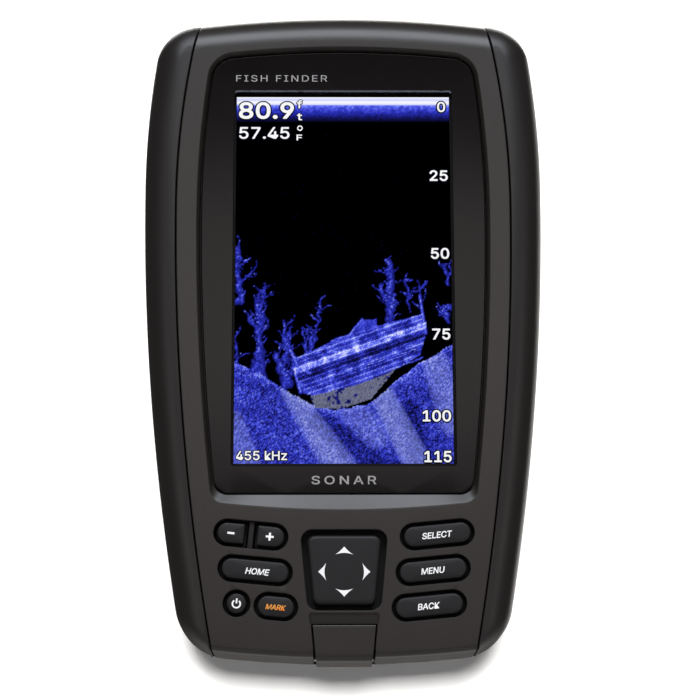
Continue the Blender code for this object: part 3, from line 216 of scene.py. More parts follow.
def wellLevels(radius, bottom, steps=5):
    angle = np.linspace(0, math.pi / 2, steps + 1)
    edge = [(radius * (1 - math.sin(a)), 1.0, radius * (1 - math.cos(a))) for a in angle]
    return edge + [(0.0, 1.0, bottom)]


def rimPart(path, normals, radius, depth, towards, steps=5, mark=0):
    # rolls a surface's edge over: a quarter round from the surface, then a wall straight down
    tangent = np.gradient(path, axis=0)
    out = np.cross(tangent, normals)
    out /= np.linalg.norm(out, axis=1)[:, None]
    out *= np.sign((out * towards).sum(axis=1))[:, None]
    angle = np.linspace(0, math.pi / 2, steps + 1)[:, None, None]
    roll = path - out * radius * (1 - np.sin(angle)) - normals * radius * (1 - np.cos(angle))
    wall = (path - normals * depth)[None]
    return gridPart(np.concatenate([roll, wall]), mark=mark)


sharpAngle = 38.0


def meshPiece(name, parts, materials, body="case", replaces=(), outward=True):
    points, faces, marks, start = [], [], [], 0
    for part in parts:
        points.append(part[0])
        faces += (part[1] + start).tolist()
        marks.append(np.full(len(part[1]), part[2]))
        start += len(part[0])
    mesh = bpy.data.meshes.new(name)
    mesh.from_pydata(np.concatenate(points).tolist(), [], faces)
    for material in materials:
        mesh.materials.append(material)
    mesh.polygons.foreach_set("material_index", np.concatenate(marks).astype(np.int32))
    build = bmesh.new()
    build.from_mesh(mesh)
    bmesh.ops.remove_doubles(build, verts=build.verts, dist=2e-6)
    bmesh.ops.dissolve_degenerate(build, dist=1e-7, edges=build.edges)
    if outward:
        bmesh.ops.recalc_face_normals(build, faces=build.faces)
    build.to_mesh(mesh)
    build.free()
    mesh.polygons.foreach_set("use_smooth", np.ones(len(mesh.polygons), bool))
    mesh.set_sharp_from_angle(angle=math.radians(sharpAngle))
    piece = bpy.data.objects.new(name, mesh)
    bpy.context.scene.collection.objects.link(piece)
    even = piece.modifiers.new("even", "WEIGHTED_NORMAL")
    even.keep_sharp = True
    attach(piece, body)
    if replaces:
        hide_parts(*replaces)
    return piece


def makeFinish(name, colour, roughness, metallic=0.0, grain=0.0, grainSize=0.25, mottle=0.0, specular=0.5,
               glow=0.0):
    made = bpy.data.materials.new(name)
    made.use_nodes = True
    nodes, links = made.node_tree.nodes, made.node_tree.links
    shader = nodes["Principled BSDF"]
    shader.inputs["Base Color"].default_value = (*colour, 1.0)
    shader.inputs["Roughness"].default_value = roughness
    shader.inputs["Metallic"].default_value = metallic
    shader.inputs["Specular IOR Level"].default_value = specular
    if glow:
        shader.inputs["Emission Color"].default_value = (*colour, 1.0)
        shader.inputs["Emission Strength"].default_value = glow
    if grain or mottle:
        place = nodes.new("ShaderNodeTexCoord")
        fine = nodes.new("ShaderNodeTexNoise")
        fine.inputs["Scale"].default_value = 1.0 / (grainSize * mm)
        fine.inputs["Detail"].default_value = 3.0
        links.new(place.outputs["Object"], fine.inputs["Vector"])
    if grain:
        bump = nodes.new("ShaderNodeBump")
        bump.inputs["Strength"].default_value = grain
        bump.inputs["Distance"].default_value = 0.00004
        links.new(fine.outputs["Fac"], bump.inputs["Height"])
        links.new(bump.outputs["Normal"], shader.inputs["Normal"])
    if mottle:
        broad = nodes.new("ShaderNodeTexNoise")
        broad.inputs["Scale"].default_value = 70.0
        broad.inputs["Detail"].default_value = 4.0
        links.new(place.outputs["Object"], broad.inputs["Vector"])
        spread = nodes.new("ShaderNodeMapRange")
        spread.inputs["To Min"].default_value = roughness - mottle
        spread.inputs["To Max"].default_value = roughness + mottle
        links.new(broad.outputs["Fac"], spread.inputs["Value"])
        links.new(spread.outputs["Result"], shader.inputs["Roughness"])
    return made


finishes = {
    "bezel": makeFinish("bezel_plastic", (0.024, 0.0203, 0.0172), 0.33, grain=0.10, grainSize=0.22,
                        mottle=0.03),
    # the key wells' walls are the bezel's plastic, darkened here as painted shade in the recesses
    "well": makeFinish("well_plastic_painted_shade", (0.017, 0.0148, 0.0140), 0.5, grain=0.1, mottle=0.03, specular=0.3),
    "rail": makeFinish("rail_plastic", (0.015, 0.0125, 0.0115), 0.42, grain=0.05, grainSize=0.3, mottle=0.04),
    "rear": makeFinish("rear_plastic", (0.024, 0.022, 0.021), 0.5, grain=0.35, grainSize=0.4, mottle=0.04),
    "key": makeFinish("key_rubber", (0.016, 0.0152, 0.016), 0.48, grain=0.08, grainSize=0.2,
                      mottle=0.03, specular=0.3),
    "rubber": makeFinish("seal_rubber", (0.010, 0.010, 0.010), 0.75, grain=0.1, mottle=0.05),
    "lens": makeFinish("lens_border", (0.0040, 0.0030, 0.0034), 0.16, mottle=0.02, specular=0.22),
    "print": makeFinish("border_print", (0.0095, 0.0080, 0.0090), 0.6, mottle=0.03, specular=0.1),
    "steel": makeFinish("steel", (0.50, 0.50, 0.51), 0.32, 1.0, grain=0.1, grainSize=0.12, mottle=0.06),
    "inner": makeFinish("inner_plastic", (0.12, 0.12, 0.13), 0.6, grain=0.1, mottle=0.04),
    "board": makeFinish("circuit_board", (0.015, 0.11, 0.05), 0.4, grain=0.3, grainSize=0.6, mottle=0.06),
    "ceramic": makeFinish("antenna_ceramic", (0.66, 0.62, 0.52), 0.6, grain=0.1, mottle=0.05),
    "ribbon": makeFinish("ribbon_film", (0.45, 0.22, 0.04), 0.35, grain=0.1, mottle=0.05),
    "card": makeFinish("card_plastic", (0.018, 0.018, 0.022), 0.4, grain=0.1, mottle=0.05),
    "brass": makeFinish("contact_brass", (0.78, 0.58, 0.26), 0.25, 1.0, grain=0.05, mottle=0.05),
    "label": makeFinish("label_film", (0.30, 0.30, 0.31), 0.45, grain=0.05, mottle=0.04),
    "panel": makeFinish("panel_glass", (0.003, 0.003, 0.004), 0.12, mottle=0.02),
    # the legends' print also glows a little: a painted glow, brighter than the lamps light it
    "white": makeFinish("white_legend_painted_glow", (0.88, 0.88, 0.88), 0.5, mottle=0.03, glow=0.28),
    "orange": makeFinish("orange_legend_painted_glow", (0.85, 0.33, 0.05), 0.5, mottle=0.03, glow=0.18),
    "silver": makeFinish("silver_print", (0.42, 0.41, 0.40), 0.5, mottle=0.03),
}
print("materials made")

slotFinish = {
    "charcoal_plastic": "bezel", "rail_plastic": "rail", "rear_plastic": "rear", "seal_rubber": "rubber",
    "display_panel": "panel", "steel": "steel", "inner_plastic": "inner", "circuit_board": "board",
    "antenna_ceramic": "ceramic", "ribbon_film": "ribbon", "key_rubber": "key", "card_plastic": "card",
    "contact_brass": "brass", "label_film": "label", "lens_glass": "panel",
}
for part in frame["record"]["subparts"]:
    node = frame["nodes"][part["node"]]
    node.data.materials.clear()
    node.data.materials.append(finishes[slotFinish[part["material_slot"]]])
    if part["node"] != "rear_housing":
        even = node.modifiers.new("even", "WEIGHTED_NORMAL")
        even.keep_sharp = True
    node.data.polygons.foreach_set("use_smooth", np.ones(len(node.data.polygons), bool))
    node.data.set_sharp_from_angle(angle=math.radians(28))
print("inner parts finished")

# The face's edges: the groove beside each rail, the display opening, the key wells and the card door.
face = {"edgeRound": 0.28, "grooveDepth": 1.9, "openingRound": 0.3, "wellRound": 0.22, "wellDepth": 2.95}
opening = {
    "half": 35.4, "widestZ": 29.0, "upper": 263.0, "lower": 605.0, "top": 71.1, "topBow": 250.0,
    "bottom": -42.3, "cornerTop": 6.0, "cornerBottom": 3.5, "chinZ": -46.5, "chinBow": 245.0,
    "lensDepth": 1.2, "lensThick": 2.0, "ledge": 3.7, "flare": 1.1, "clearance": 0.3,
}
door = {"top": -74.2, "halfTop": 7.5, "halfBottom": 6.75, "gap": 0.35, "pivotDepth": 12.5, "heel": 1.9,
        "proud": 0.9, "faceProud": 0.45, "wall": 2.0}
scoop = {"half": 8.3, "top": -71.5, "bottom": -73.5, "depth": 0.9}


def lensLoop(grow, bottom=None, cornerBottom=None):
    low = (lambda x: opening["bottom"] - grow) if bottom is None else bottom
    return mirrored(halfLoop(
        lambda z: bow(z, opening["half"] + grow, opening["widestZ"], opening["upper"], opening["lower"]),
        lambda x: bow(x, opening["top"] + grow, 0.0, opening["topBow"]), low,
        opening["cornerTop"] + grow,
        opening["cornerBottom"] + grow if cornerBottom is None else cornerBottom))


def chinLoop(grow):
    extra = grow - opening["flare"]
    return lensLoop(grow, lambda x: -bow(x, -opening["chinZ"] + extra, 0.0, opening["chinBow"]),
                    opening["cornerBottom"] + extra)


# The four-way pad: gap is the room round it, and wall how deep its well's visible wall goes.
pad = {"z": -61.0, "top": -0.6, "edge": 0.95, "crown": 0.1, "bottom": 3.65, "flange": 2.1, "gap": 1.4,
       "wall": 2.6}


def padLoop(grow):
    slant = (9.0 - 7.4) / (2 * 8.3)
    return mirrored(halfLoop(lambda z: 8.2 + grow + slant * z, lambda x: 8.3 + grow, lambda x: -8.3 - grow,
                             1.8 + grow * 0.6, 1.8 + grow * 0.6, 4, 6, 8))


keyTilt = 5.5
keyShape = {"long": 16.4, "high": 5.1, "markLong": 9.0, "powerAcross": 5.0, "zoomStart": 1.4,
            "zoomCorner": 0.5}


def longKey(grow):
    return pillLoop(keyShape["long"] + 2 * grow, keyShape["high"] + 2 * grow)


def markKey(grow):
    return pillLoop(keyShape["markLong"] + 2 * grow, keyShape["high"] + 2 * grow)


def powerKey(grow):
    # very slightly longer than it is high
    return pillLoop(keyShape["powerAcross"] + 2 * grow, keyShape["powerAcross"] - 0.01 + 2 * grow)


def zoomKey(grow, side):
    return halfPillLoop(keyShape["long"], keyShape["high"], keyShape["zoomStart"], side,
                        keyShape["zoomCorner"], grow)


keys = {
    "zoom_out_key": (-22.4, -52.5, keyTilt, lambda g: zoomKey(g, -1)),
    "zoom_in_key": (-22.4, -52.5, keyTilt, lambda g: zoomKey(g, 1)),
    "home_key": (-21.3, -61.1, keyTilt, longKey),
    "power_key": (-25.7, -69.0, keyTilt, powerKey),
    "mark_key": (-16.3, -69.8, keyTilt, markKey),
    "select_key": (22.4, -52.5, -keyTilt, longKey),
    "menu_key": (21.3, -61.1, -keyTilt, longKey),
    "back_key": (20.3, -69.6, -keyTilt, longKey),
}
keyGap = 0.75
zoomPlace = (*keys["zoom_out_key"][:3], longKey)
zoomRib = {"half": 0.62, "reach": 3.4, "corner": 0.16, "top": 0.9, "bottom": 2.6}
pocket = {"ceiling": -73.85, "back": 14.75}
wellPlaces = [zoomPlace] + [place for name, place in keys.items() if "zoom" not in name]


def placedLoop(loop, x, z, tilt):
    turn = math.radians(tilt)
    return np.stack([loop[:, 0] * math.cos(turn) + loop[:, 1] * math.sin(turn) + x,
                     -loop[:, 0] * math.sin(turn) + loop[:, 1] * math.cos(turn) + z], -1)


def seamCrossing(edge):
    z = edge(seamX(70.0 if edge(0.0) > 0 else -70.0))
    for _ in range(30):
        z = edge(seamX(z))
    return float(seamX(z)), float(z)


def edgeStations(side):
    # (inset from the outermost edge, depth, turn of the surface) from the crest back to the rear end
    if side > 0:
        reach, depth = case["rollTop"], case["rollDepth"]
    else:
        reach, depth = case["bottomRoll"], case["bottomRoll"]
    turn = np.linspace(0, math.pi / 2, 15 if side > 0 else 8)
    inset = reach * (1 - np.sin(turn))
    back = depth * (1 - np.cos(turn))
    more = np.linspace(depth, case["frontEnd"], 4)[1:]
    return (np.concatenate([inset, 0 * more]), np.concatenate([back, more]),
            np.concatenate([turn, 0 * more + math.pi / 2]))


def makeBezel():
    parts = []
    rim = face["edgeRound"]
    paths = {}
    for side in (1, -1):
        inset, back, turn = edgeStations(side)
        edge = (lambda i: (lambda x: topZ(x, i))) if side > 0 else (lambda i: (lambda x: bottomZ(x, i)))
        ends = np.array([seamCrossing(edge(i)) for i in inset])
        paths[side] = (np.stack([ends[:, 0], back, ends[:, 1]], -1),
                       np.stack([0 * turn, -np.cos(turn), side * np.sin(turn)], -1), inset)
        # the rolled strip between the two grooves; the bottom one is split by the door
        if side > 0:
            across = np.linspace(-1, 1, 61)[None, :]
            x = across * (ends[:, :1] - rim)
            z = topZ(x, inset[:, None])
            parts.append(gridPart(toFrame(x, back[:, None], z)))
        else:
            for hand in (1, -1):
                near = doorHalf(bottomZ(7.0, inset)) + door["gap"] + rim
                across = np.linspace(0, 1, 25)[None, :]
                x = hand * (near[:, None] * (1 - across) + (ends[:, :1] - rim) * across)
                z = bottomZ(x, inset[:, None])
                parts.append(gridPart(toFrame(x, back[:, None], z)))
    top, bottom = paths[1], paths[-1]
    zFace = np.linspace(bottom[0][0, 2], top[0][0, 2], 90)
    seamFace = np.stack([seamX(zFace), 0 * zFace, zFace], -1)
    path = np.concatenate([bottom[0][::-1], seamFace[1:-1], top[0]])
    normals = np.concatenate([bottom[1][::-1], np.tile((0.0, -1.0, 0.0), (88, 1)), top[1]])
    for hand in (1, -1):
        flip = np.array((hand, 1.0, 1.0))
        at = toFrame(path[:, 0], path[:, 1], path[:, 2]) * flip
        parts.append(rimPart(at, normals, rim * mm, face["grooveDepth"] * mm, np.array((hand, 0.0, 0.0))))
    # the door's mouth: up from the rear of the underside, round the finger scoop and back down
    half = doorHalf(bottom[0][:, 2]) + door["gap"]
    xUnder, dUnder, zUnder = half[::-1], bottom[0][::-1, 1], bottomZ(half, bottom[2])[::-1]
    zUp = np.linspace(zUnder[-1], scoop["bottom"] - 0.4, 10)[1:]
    quarter = np.radians(np.linspace(0, 90, 8))
    radius = 0.7
    xTop = np.linspace(scoop["half"] - radius, 0, 12)[1:]
    mouthX = np.concatenate([doorHalf(zUp) + door["gap"],
                             [scoop["half"] - 0.15], scoop["half"] - radius + radius * np.cos(quarter), xTop])
    mouthZ = np.concatenate([zUp, [scoop["bottom"]],
                             scoop["top"] - radius + radius * np.sin(quarter), 0 * xTop + scoop["top"]])
    faceMouth = np.stack([mouthX, 0 * mouthX, mouthZ], -1)
    under = np.stack([xUnder, dUnder, zUnder], -1)
    right = np.concatenate([under, faceMouth])
    rightNormals = np.concatenate([bottom[1][::-1], np.tile((0.0, -1.0, 0.0), (len(faceMouth), 1))])
    mouth = np.concatenate([right, right[-2::-1] * (-1, 1, 1)])
    mouthNormals = np.concatenate([rightNormals, rightNormals[-2::-1]])
    at = toFrame(mouth[:, 0], mouth[:, 1], mouth[:, 2])
    inward = -mouth * (1, 0, 1) + (0, 0, -78.5)
    rimMouth = rimPart(at, mouthNormals, rim * mm, 2.0 * mm, inward)
    parts.append(rimMouth)
    start = rimMouth[0][:len(mouth)] / mm
    mouthLoop = start[len(under) - 1:len(mouth) - len(under) + 1][:, [0, 2]]
    # the flat face, its outline made of the strips' own first points
    xRight = bottom[0][0, 0] - rim
    near = doorHalf(bottomZ(7.0, bottom[2][0])) + door["gap"] + rim
    xLow = near + (xRight - near) * np.linspace(0, 1, 25)
    low = np.stack([xLow, bottomZ(xLow, bottom[2][0])], -1)
    seamRim = rimPart(toFrame(path[:, 0], path[:, 1], path[:, 2]), normals, rim * mm, 1.0 * mm,
                      np.array((1.0, 0.0, 0.0)))[0][:len(path)] / mm
    first = len(bottom[0])
    seamLine = seamRim[first:first + 88][:, [0, 2]]
    xTopEdge = np.linspace(1, -1, 61) * (top[0][0, 0] - rim)
    high = np.stack([xTopEdge, topZ(xTopEdge, top[2][0])], -1)
    outer = np.concatenate([low, seamLine, high, seamLine[::-1] * (-1, 1), low[::-1] * (-1, 1),
                            mouthLoop[1:-1][::-1]])
    display = chinLoop(opening["flare"] + face["openingRound"])
    wells = [placedLoop(loopAt(keyGap + face["wellRound"]), x, z, tilt) for x, z, tilt, loopAt in wellPlaces]
    padWell = padLoop(pad["gap"] + face["wellRound"]) + (0.0, pad["z"])
    parts.append(flatPart(outer, [display, *wells, padWell], 0.0))
    # the flare round the lens: short at the sides, a broad crescent below
    rings = [toFrame(display[:, 0], 0.0, display[:, 1])]
    crest, sill = chinLoop(opening["flare"]), lensLoop(opening["clearance"])
    for share, grow, depth in ((0.0, 0.12, 0.02), (0.03, 0.0, 0.055), (0.07, 0.0, 0.095), (0.5, 0.0, 0.65),
                               (1.0, 0.0, 1.3)):
        base = chinLoop(opening["flare"] + grow) if grow else crest
        loop = base * (1 - share) + sill * share
        rings.append(toFrame(loop[:, 0], depth, loop[:, 1]))
    rings.append(toFrame(sill[:, 0], opening["ledge"], sill[:, 1]))
    ledge = lensLoop(-4.0)
    rings.append(toFrame(ledge[:, 0], opening["ledge"], ledge[:, 1]))
    parts.append(gridPart(np.array(rings), True))
    # the wells' walls, the zoom rib and the pad's well take the second finish, darker than the bezel: painted
    # shade
    for x, z, tilt, loopAt in wellPlaces:
        levels = wellLevels(face["wellRound"], face["wellDepth"] - 0.35)
        parts.append(ringsPart(lambda g: loopAt(keyGap + g), levels, (x, z), tilt, mark=1))
    # a low rib parts the two zoom keys
    x, z, tilt, _ = keys["zoom_out_key"]
    ribTop, ribReach = zoomRib["top"], zoomRib["reach"]
    ribLevels = [(-0.15, 0.0, ribTop), (-0.15, 1.0, ribTop), (-0.04, 1.0, ribTop + 0.04),
                 (0.0, 1.0, ribTop + 0.15),
                 (0.0, 1.0, zoomRib["bottom"])]
    parts.append(ringsPart(lambda g: boxLoop(zoomRib["half"] + g, -ribReach - g, ribReach + g,
                                             zoomRib["corner"] + g),
                           ribLevels, (x, z), tilt, mark=1))
    parts.append(ringsPart(lambda g: padLoop(pad["gap"] + g), wellLevels(face["wellRound"], pad["wall"]),
                           (0.0, pad["z"]), mark=1))
    # the scoop's sloping floor, then the pocket behind the door with the card's slot in its ceiling
    slopeX = np.array([-scoop["half"], scoop["half"]])[None, :]
    ceilingZ, backDepth = pocket["ceiling"], pocket["back"]
    slopeZ = np.array([scoop["top"] + 0.1, ceilingZ])[:, None]
    parts.append(gridPart(toFrame(slopeX, np.array([0.35, scoop["depth"]])[:, None], slopeZ)))
    level = np.array([ceilingZ, ceilingZ])[:, None]
    parts.append(gridPart(toFrame(slopeX, np.array([scoop["depth"], 2.2])[:, None], level)))
    slot = boxLoop(5.75, 8.85, 10.35, 0.2, 3)
    ceiling = np.array([(-8.4, 1.6), (8.4, 1.6), (8.4, backDepth), (-8.4, backDepth)])
    flat, faces, mark = flatPart(ceiling, [slot], 0.0)
    parts.append((toFrame(flat[:, 0] / mm, flat[:, 2] / mm, ceilingZ), faces, mark))
    slotWall = np.array([toFrame(slot[:, 0], slot[:, 1], ceilingZ), toFrame(slot[:, 0], slot[:, 1], -71.9)])
    parts.append(gridPart(slotWall, True))
    for hand in (1, -1):
        wallZ = np.array([ceilingZ, -81.9])[:, None]
        wallX = hand * (doorHalf(wallZ) + door["gap"] + 0.02)
        parts.append(gridPart(toFrame(wallX, np.array([1.0, backDepth])[None, :], wallZ)))
    rearX, rearZ = np.array([-7.9, 7.9])[None, :], np.array([ceilingZ, case["bottom"]])[:, None]
    parts.append(gridPart(toFrame(rearX, backDepth, rearZ)))
    xWeb = np.linspace(-7.1, 7.1, 5)[None, :]
    parts.append(gridPart(toFrame(xWeb, np.array([backDepth, case["frontEnd"]])[:, None], bottomZ(xWeb))))
    return meshPiece("bezel_skin", parts, [finishes["bezel"], finishes["well"]],
                     replaces=["front_bezel"])


def doorHalf(z):
    slant = (door["halfTop"] - door["halfBottom"]) / (door["top"] - case["bottom"])
    return door["halfBottom"] + slant * (z - case["bottom"])


makeBezel()
print("bezel made")

rail = {"rollSteps": 16, "alongSteps": 150, "turnWeight": 14.0, "edgeRound": 0.28, "grooveDepth": 1.9,
        "lip": 1.9}


def railRow(inset, topInset, bottomInset):
    # one level of the rail: the case's outline outside the groove, held to the groove's edge elsewhere
    half = halfLoop(lambda z: sideX(z, inset), lambda x: topZ(x, topInset), lambda x: bottomZ(x, bottomInset),
                    max(case["cornerTop"] - inset, 2.0),
                    max(case["cornerBottom"] - max(inset, bottomInset), 2.0),
                    30, 160, 24)[::-1]
    gap = case["seamGap"]
    zTop = 75.0
    zBottom = -75.0
    for _ in range(40):
        zTop = float(topZ(seamX(zTop) + gap, topInset))
        zBottom = float(bottomZ(seamX(zBottom) + gap, bottomInset))
    keep = (half[:, 1] < zTop) & (half[:, 1] > zBottom) & (half[:, 0] > 20.0)
    kept = half[keep]
    x = np.maximum(kept[:, 0], seamX(kept[:, 1]) + gap)
    line = np.concatenate([[(seamX(zTop) + gap, zTop)], np.stack([x, kept[:, 1]], -1),
                           [(seamX(zBottom) + gap, zBottom)]])
    step = np.diff(line, axis=0)
    length = np.linalg.norm(step, axis=1)
    heading = np.unwrap(np.arctan2(step[:, 1], step[:, 0]))
    measure = np.concatenate([[0], np.cumsum(length)])
    turning = np.concatenate([[0], np.cumsum(np.abs(np.diff(heading))), [0]])
    turning[-1] = turning[-2]
    measure = measure + rail["turnWeight"] * turning
    at = np.linspace(0, measure[-1], rail["alongSteps"])
    return np.stack([np.interp(at, measure, line[:, 0]), np.interp(at, measure, line[:, 1])], -1)


def makeRails():
    turn = np.linspace(0, math.pi / 2, rail["rollSteps"])
    end = case["frontEnd"]
    depths = list(case["rollDepth"] * (1 - np.cos(turn))) + [12.0, end - 0.25, end - 0.06, end]
    rows, tilts = [], list(turn) + [math.pi / 2] * 4
    for number, depth in enumerate(depths):
        share = 1 - math.sin(tilts[number])
        bend = 1 - min(depth / case["bottomRoll"], 1.0)
        under = case["bottomRoll"] * (1 - math.sqrt(max(0.0, 1 - bend ** 2)))
        over = 0.0 if depth < end - 0.1 else (0.06 if depth < end else 0.25)
        row = railRow(case["rollSide"] * share + over, case["rollTop"] * share + over, under + over)
        rows.append(toFrame(row[:, 0], depth, row[:, 1]))
    first = rows[0] / mm
    z = first[:, 2]
    inner = toFrame(seamX(z) + case["seamGap"], 0.0, z)
    inset = rail["edgeRound"]
    border = np.concatenate([np.array([r[0] for r in rows[:0:-1]]), inner,
                             np.array([r[-1] for r in rows[1:]])])
    topNormals = np.array([(0.0, -math.cos(t), math.sin(t)) for t in tilts[:0:-1]])
    lowTurn = np.arccos(np.clip(1 - np.array(depths[1:]) / case["bottomRoll"], 0, 1))
    lowNormals = np.stack([0 * lowTurn, -np.cos(lowTurn), -np.sin(lowTurn)], -1)
    normals = np.concatenate([topNormals, np.tile((0.0, -1.0, 0.0), (len(inner), 1)), lowNormals])
    rim = rimPart(border, normals, inset * mm, rail["grooveDepth"] * mm, np.array((-1.0, 0.0, 0.0)))
    start = rim[0][:len(border)]
    tops = len(rows) - 1
    rows = [row.copy() for row in rows]
    for number in range(1, len(rows)):
        rows[number][0] = start[tops - number]
        rows[number][-1] = start[tops + len(inner) + number - 1]
    innerRow = start[tops:tops + len(inner)]
    rows[0][:, 0] = np.maximum(rows[0][:, 0], innerRow[:, 0])
    for row in rows[1:]:
        row[1:-1, 0] = np.maximum(row[1:-1, 0], np.interp(-row[1:-1, 2], -innerRow[:, 2], innerRow[:, 0]))
    back = rows[-1].copy()
    back[:, 0] -= rail["lip"] * mm * np.sign(back[:, 0])
    grid = np.array([innerRow, *rows, back])
    parts = [gridPart(grid), rim]
    for name, hand in (("right_rail_skin", 1), ("left_rail_skin", -1)):
        made = [(p * (hand, 1, 1), f if hand > 0 else f[:, ::-1], m) for p, f, m in parts]
        node = "right_side_rail" if hand > 0 else "left_side_rail"
        meshPiece(name, made, [finishes["rail"]], replaces=[node])


makeRails()
print("rails made")

# The lens: a glossy black border round a clear window.
window = {"halfX": 27.5, "low": -35.6, "high": 60.9, "radius": 1.0, "printDepth": 1.2, "glassDepth": 1.28,
          "gap": 0.02, "margin": 1.2}
glass = bpy.data.materials.new("lens_glass")
glass.use_nodes = True
glassShader = glass.node_tree.nodes["Principled BSDF"]
glassShader.inputs["Base Color"].default_value = (0.0, 0.0, 0.0, 1.0)
glassShader.inputs["Roughness"].default_value = 0.03
glassShader.inputs["Alpha"].default_value = 0.0


def windowLoop(grow):
    return boxLoop(window["halfX"] + grow, window["low"] - grow, window["high"] + grow,
                   window["radius"] + grow)


def makeLens():
    # the border is the sheet's printed margin, and the window a clear plate let into it
    front, back = opening["lensDepth"], opening["lensDepth"] + opening["lensThick"]
    levels = [(-0.3, 1.0, front), (-0.14, 1.0, front + 0.05), (-0.04, 1.0, front + 0.16),
              (0.0, 1.0, front + 0.3),
              (0.0, 1.0, back)]
    inside = [(0.0, 1.0, front), (0.0, 1.0, back)]
    meshPiece("lens_border", [flatPart(lensLoop(-0.3), [windowLoop(0.0)], front), ringsPart(lensLoop, levels),
                              flatPart(lensLoop(0.0), [windowLoop(0.0)], back),
                              ringsPart(windowLoop, inside)],
              [finishes["lens"]], replaces=["display_lens"])
    gap, paneFront, paneBack = window["gap"], window["glassDepth"], back - window["gap"]
    pane = [(-gap, 1.0, paneFront), (-gap, 1.0, paneBack)]
    meshPiece("lens_window", [flatPart(windowLoop(-gap), [], paneFront), ringsPart(windowLoop, pane),
                              flatPart(windowLoop(-gap), [], paneBack)], [glass])
    # the black margin of the panel, between the picture and the window's edge
    half = screen["height"] / 2
    margin = boxLoop(screen["width"] / 2, screen["z"] - half, screen["z"] + half, 0.05)
    meshPiece("picture_margin", [flatPart(windowLoop(window["margin"]), [margin], back + 0.3)],
              [finishes["print"]],
              outward=False)


makeLens()
print("lens made")


# Blender's own sans face where it is installed, and its built-in one elsewhere
lettersPath = os.path.join(bpy.utils.system_resource("DATAFILES"), "fonts", "Inter.woff2")
letters = bpy.data.fonts.load(lettersPath) if os.path.exists(lettersPath) else None


def textPiece(name, words, height, x, z, depth, material, body="case", tilt=0.0, align="CENTER",
              bold=0.0, lean=0.0, width=None, spacing=1.0):
    drawn = bpy.data.curves.new(name, "FONT")
    drawn.body = words
    if letters:
        drawn.font = letters
    drawn.align_x = align
    drawn.align_y = "CENTER"
    drawn.size = height / 0.70
    drawn.shear = lean
    drawn.space_character = spacing
    drawn.resolution_u = 6
    holder = bpy.data.objects.new(name + "_drawn", drawn)
    bpy.context.scene.collection.objects.link(holder)
    bpy.context.view_layer.update()
    mesh = bpy.data.meshes.new_from_object(holder.evaluated_get(bpy.context.evaluated_depsgraph_get()))
    bpy.data.objects.remove(holder, do_unlink=True)
    mesh.name = name
    co = np.zeros(len(mesh.vertices) * 3, np.float32)
    mesh.vertices.foreach_get("co", co)
    co = co.reshape(-1, 3)
    low, high = co.min(axis=0), co.max(axis=0)
    start = {"LEFT": low[0], "CENTER": (low[0] + high[0]) / 2, "RIGHT": high[0]}[align]
    stretch = width / (high[0] - low[0]) if width else 1.0
    across, up = (co[:, 0] - start) * stretch, co[:, 1] - (high[1] + low[1]) / 2
    faces = [list(polygon.vertices) for polygon in mesh.polygons]
    bpy.data.meshes.remove(mesh)
    # heavier strokes are shifted copies of the same letters, each a hair behind the last
    turns = [(0.0, 0.0)]
    turns += [(bold * math.cos(a), bold * math.sin(a)) for a in np.radians(np.arange(0, 360, 36))]
    points, every = [], []
    for number, (right, rise) in enumerate(turns if bold else turns[:1]):
        flat = placedLoop(np.stack([across + right, up + rise], -1), x, z, tilt)
        points.append(toFrame(flat[:, 0], depth + 0.001 * number, flat[:, 1]))
        every += [[index + number * len(co) for index in face] for face in faces]
    mesh = bpy.data.meshes.new(name)
    mesh.from_pydata(np.concatenate(points).tolist(), [], every)
    return flatPiece(name, mesh, material, body)


def flatPiece(name, mesh, material, body):
    # faces of a flat legend all look out of the front
    build = bmesh.new()
    build.from_mesh(mesh)
    bmesh.ops.remove_doubles(build, verts=build.verts, dist=1e-7)
    bmesh.ops.recalc_face_normals(build, faces=build.faces)
    build.normal_update()
    wrong = [f for f in build.faces if f.normal.y > 0]
    bmesh.ops.reverse_faces(build, faces=wrong)
    build.to_mesh(mesh)
    build.free()
    mesh.materials.clear()
    mesh.materials.append(material)
    mesh.update()
    piece = bpy.data.objects.new(name, mesh)
    bpy.context.scene.collection.objects.link(piece)
    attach(piece, body)
    return piece


def shapePiece(name, loops, depth, material, body="case", holes=()):
    points, faces, start = [], [], 0
    for loop in loops:
        part = flatPart(np.array(loop, float), [np.array(h, float) for h in holes], depth)
        points.append(part[0])
        faces += (part[1] + start).tolist()
        start += len(part[0])
    mesh = bpy.data.meshes.new(name)
    mesh.from_pydata(np.concatenate(points).tolist(), [], faces)
    return flatPiece(name, mesh, material, body)


# Keys: soft edges, a slight crown and a flange under the wall.
cap = {"top": -0.5, "crown": 0.16, "edge": 0.55, "bottom": 2.9, "flange": 0.8, "smaller": 0.14}
legendDepth = cap["top"] - cap["crown"] - 0.02
for keyName, (keyX, keyZ, tilt, loopAt) in keys.items():
    flange = 0.5 if "zoom" in keyName else cap["flange"]
    levels = [(grow - cap["smaller"], scale, depth) for grow, scale, depth in
              capLevels(cap["top"], cap["crown"], cap["edge"], cap["bottom"], flange=flange)]
    meshPiece(keyName + "_cap", [ringsPart(loopAt, levels[:-3], (keyX, keyZ), tilt),
                                 ringsPart(loopAt, levels[-4:], (keyX, keyZ), tilt, mark=1)],
              [finishes["key"], finishes["rubber"]], body=keyName, replaces=[keyName])
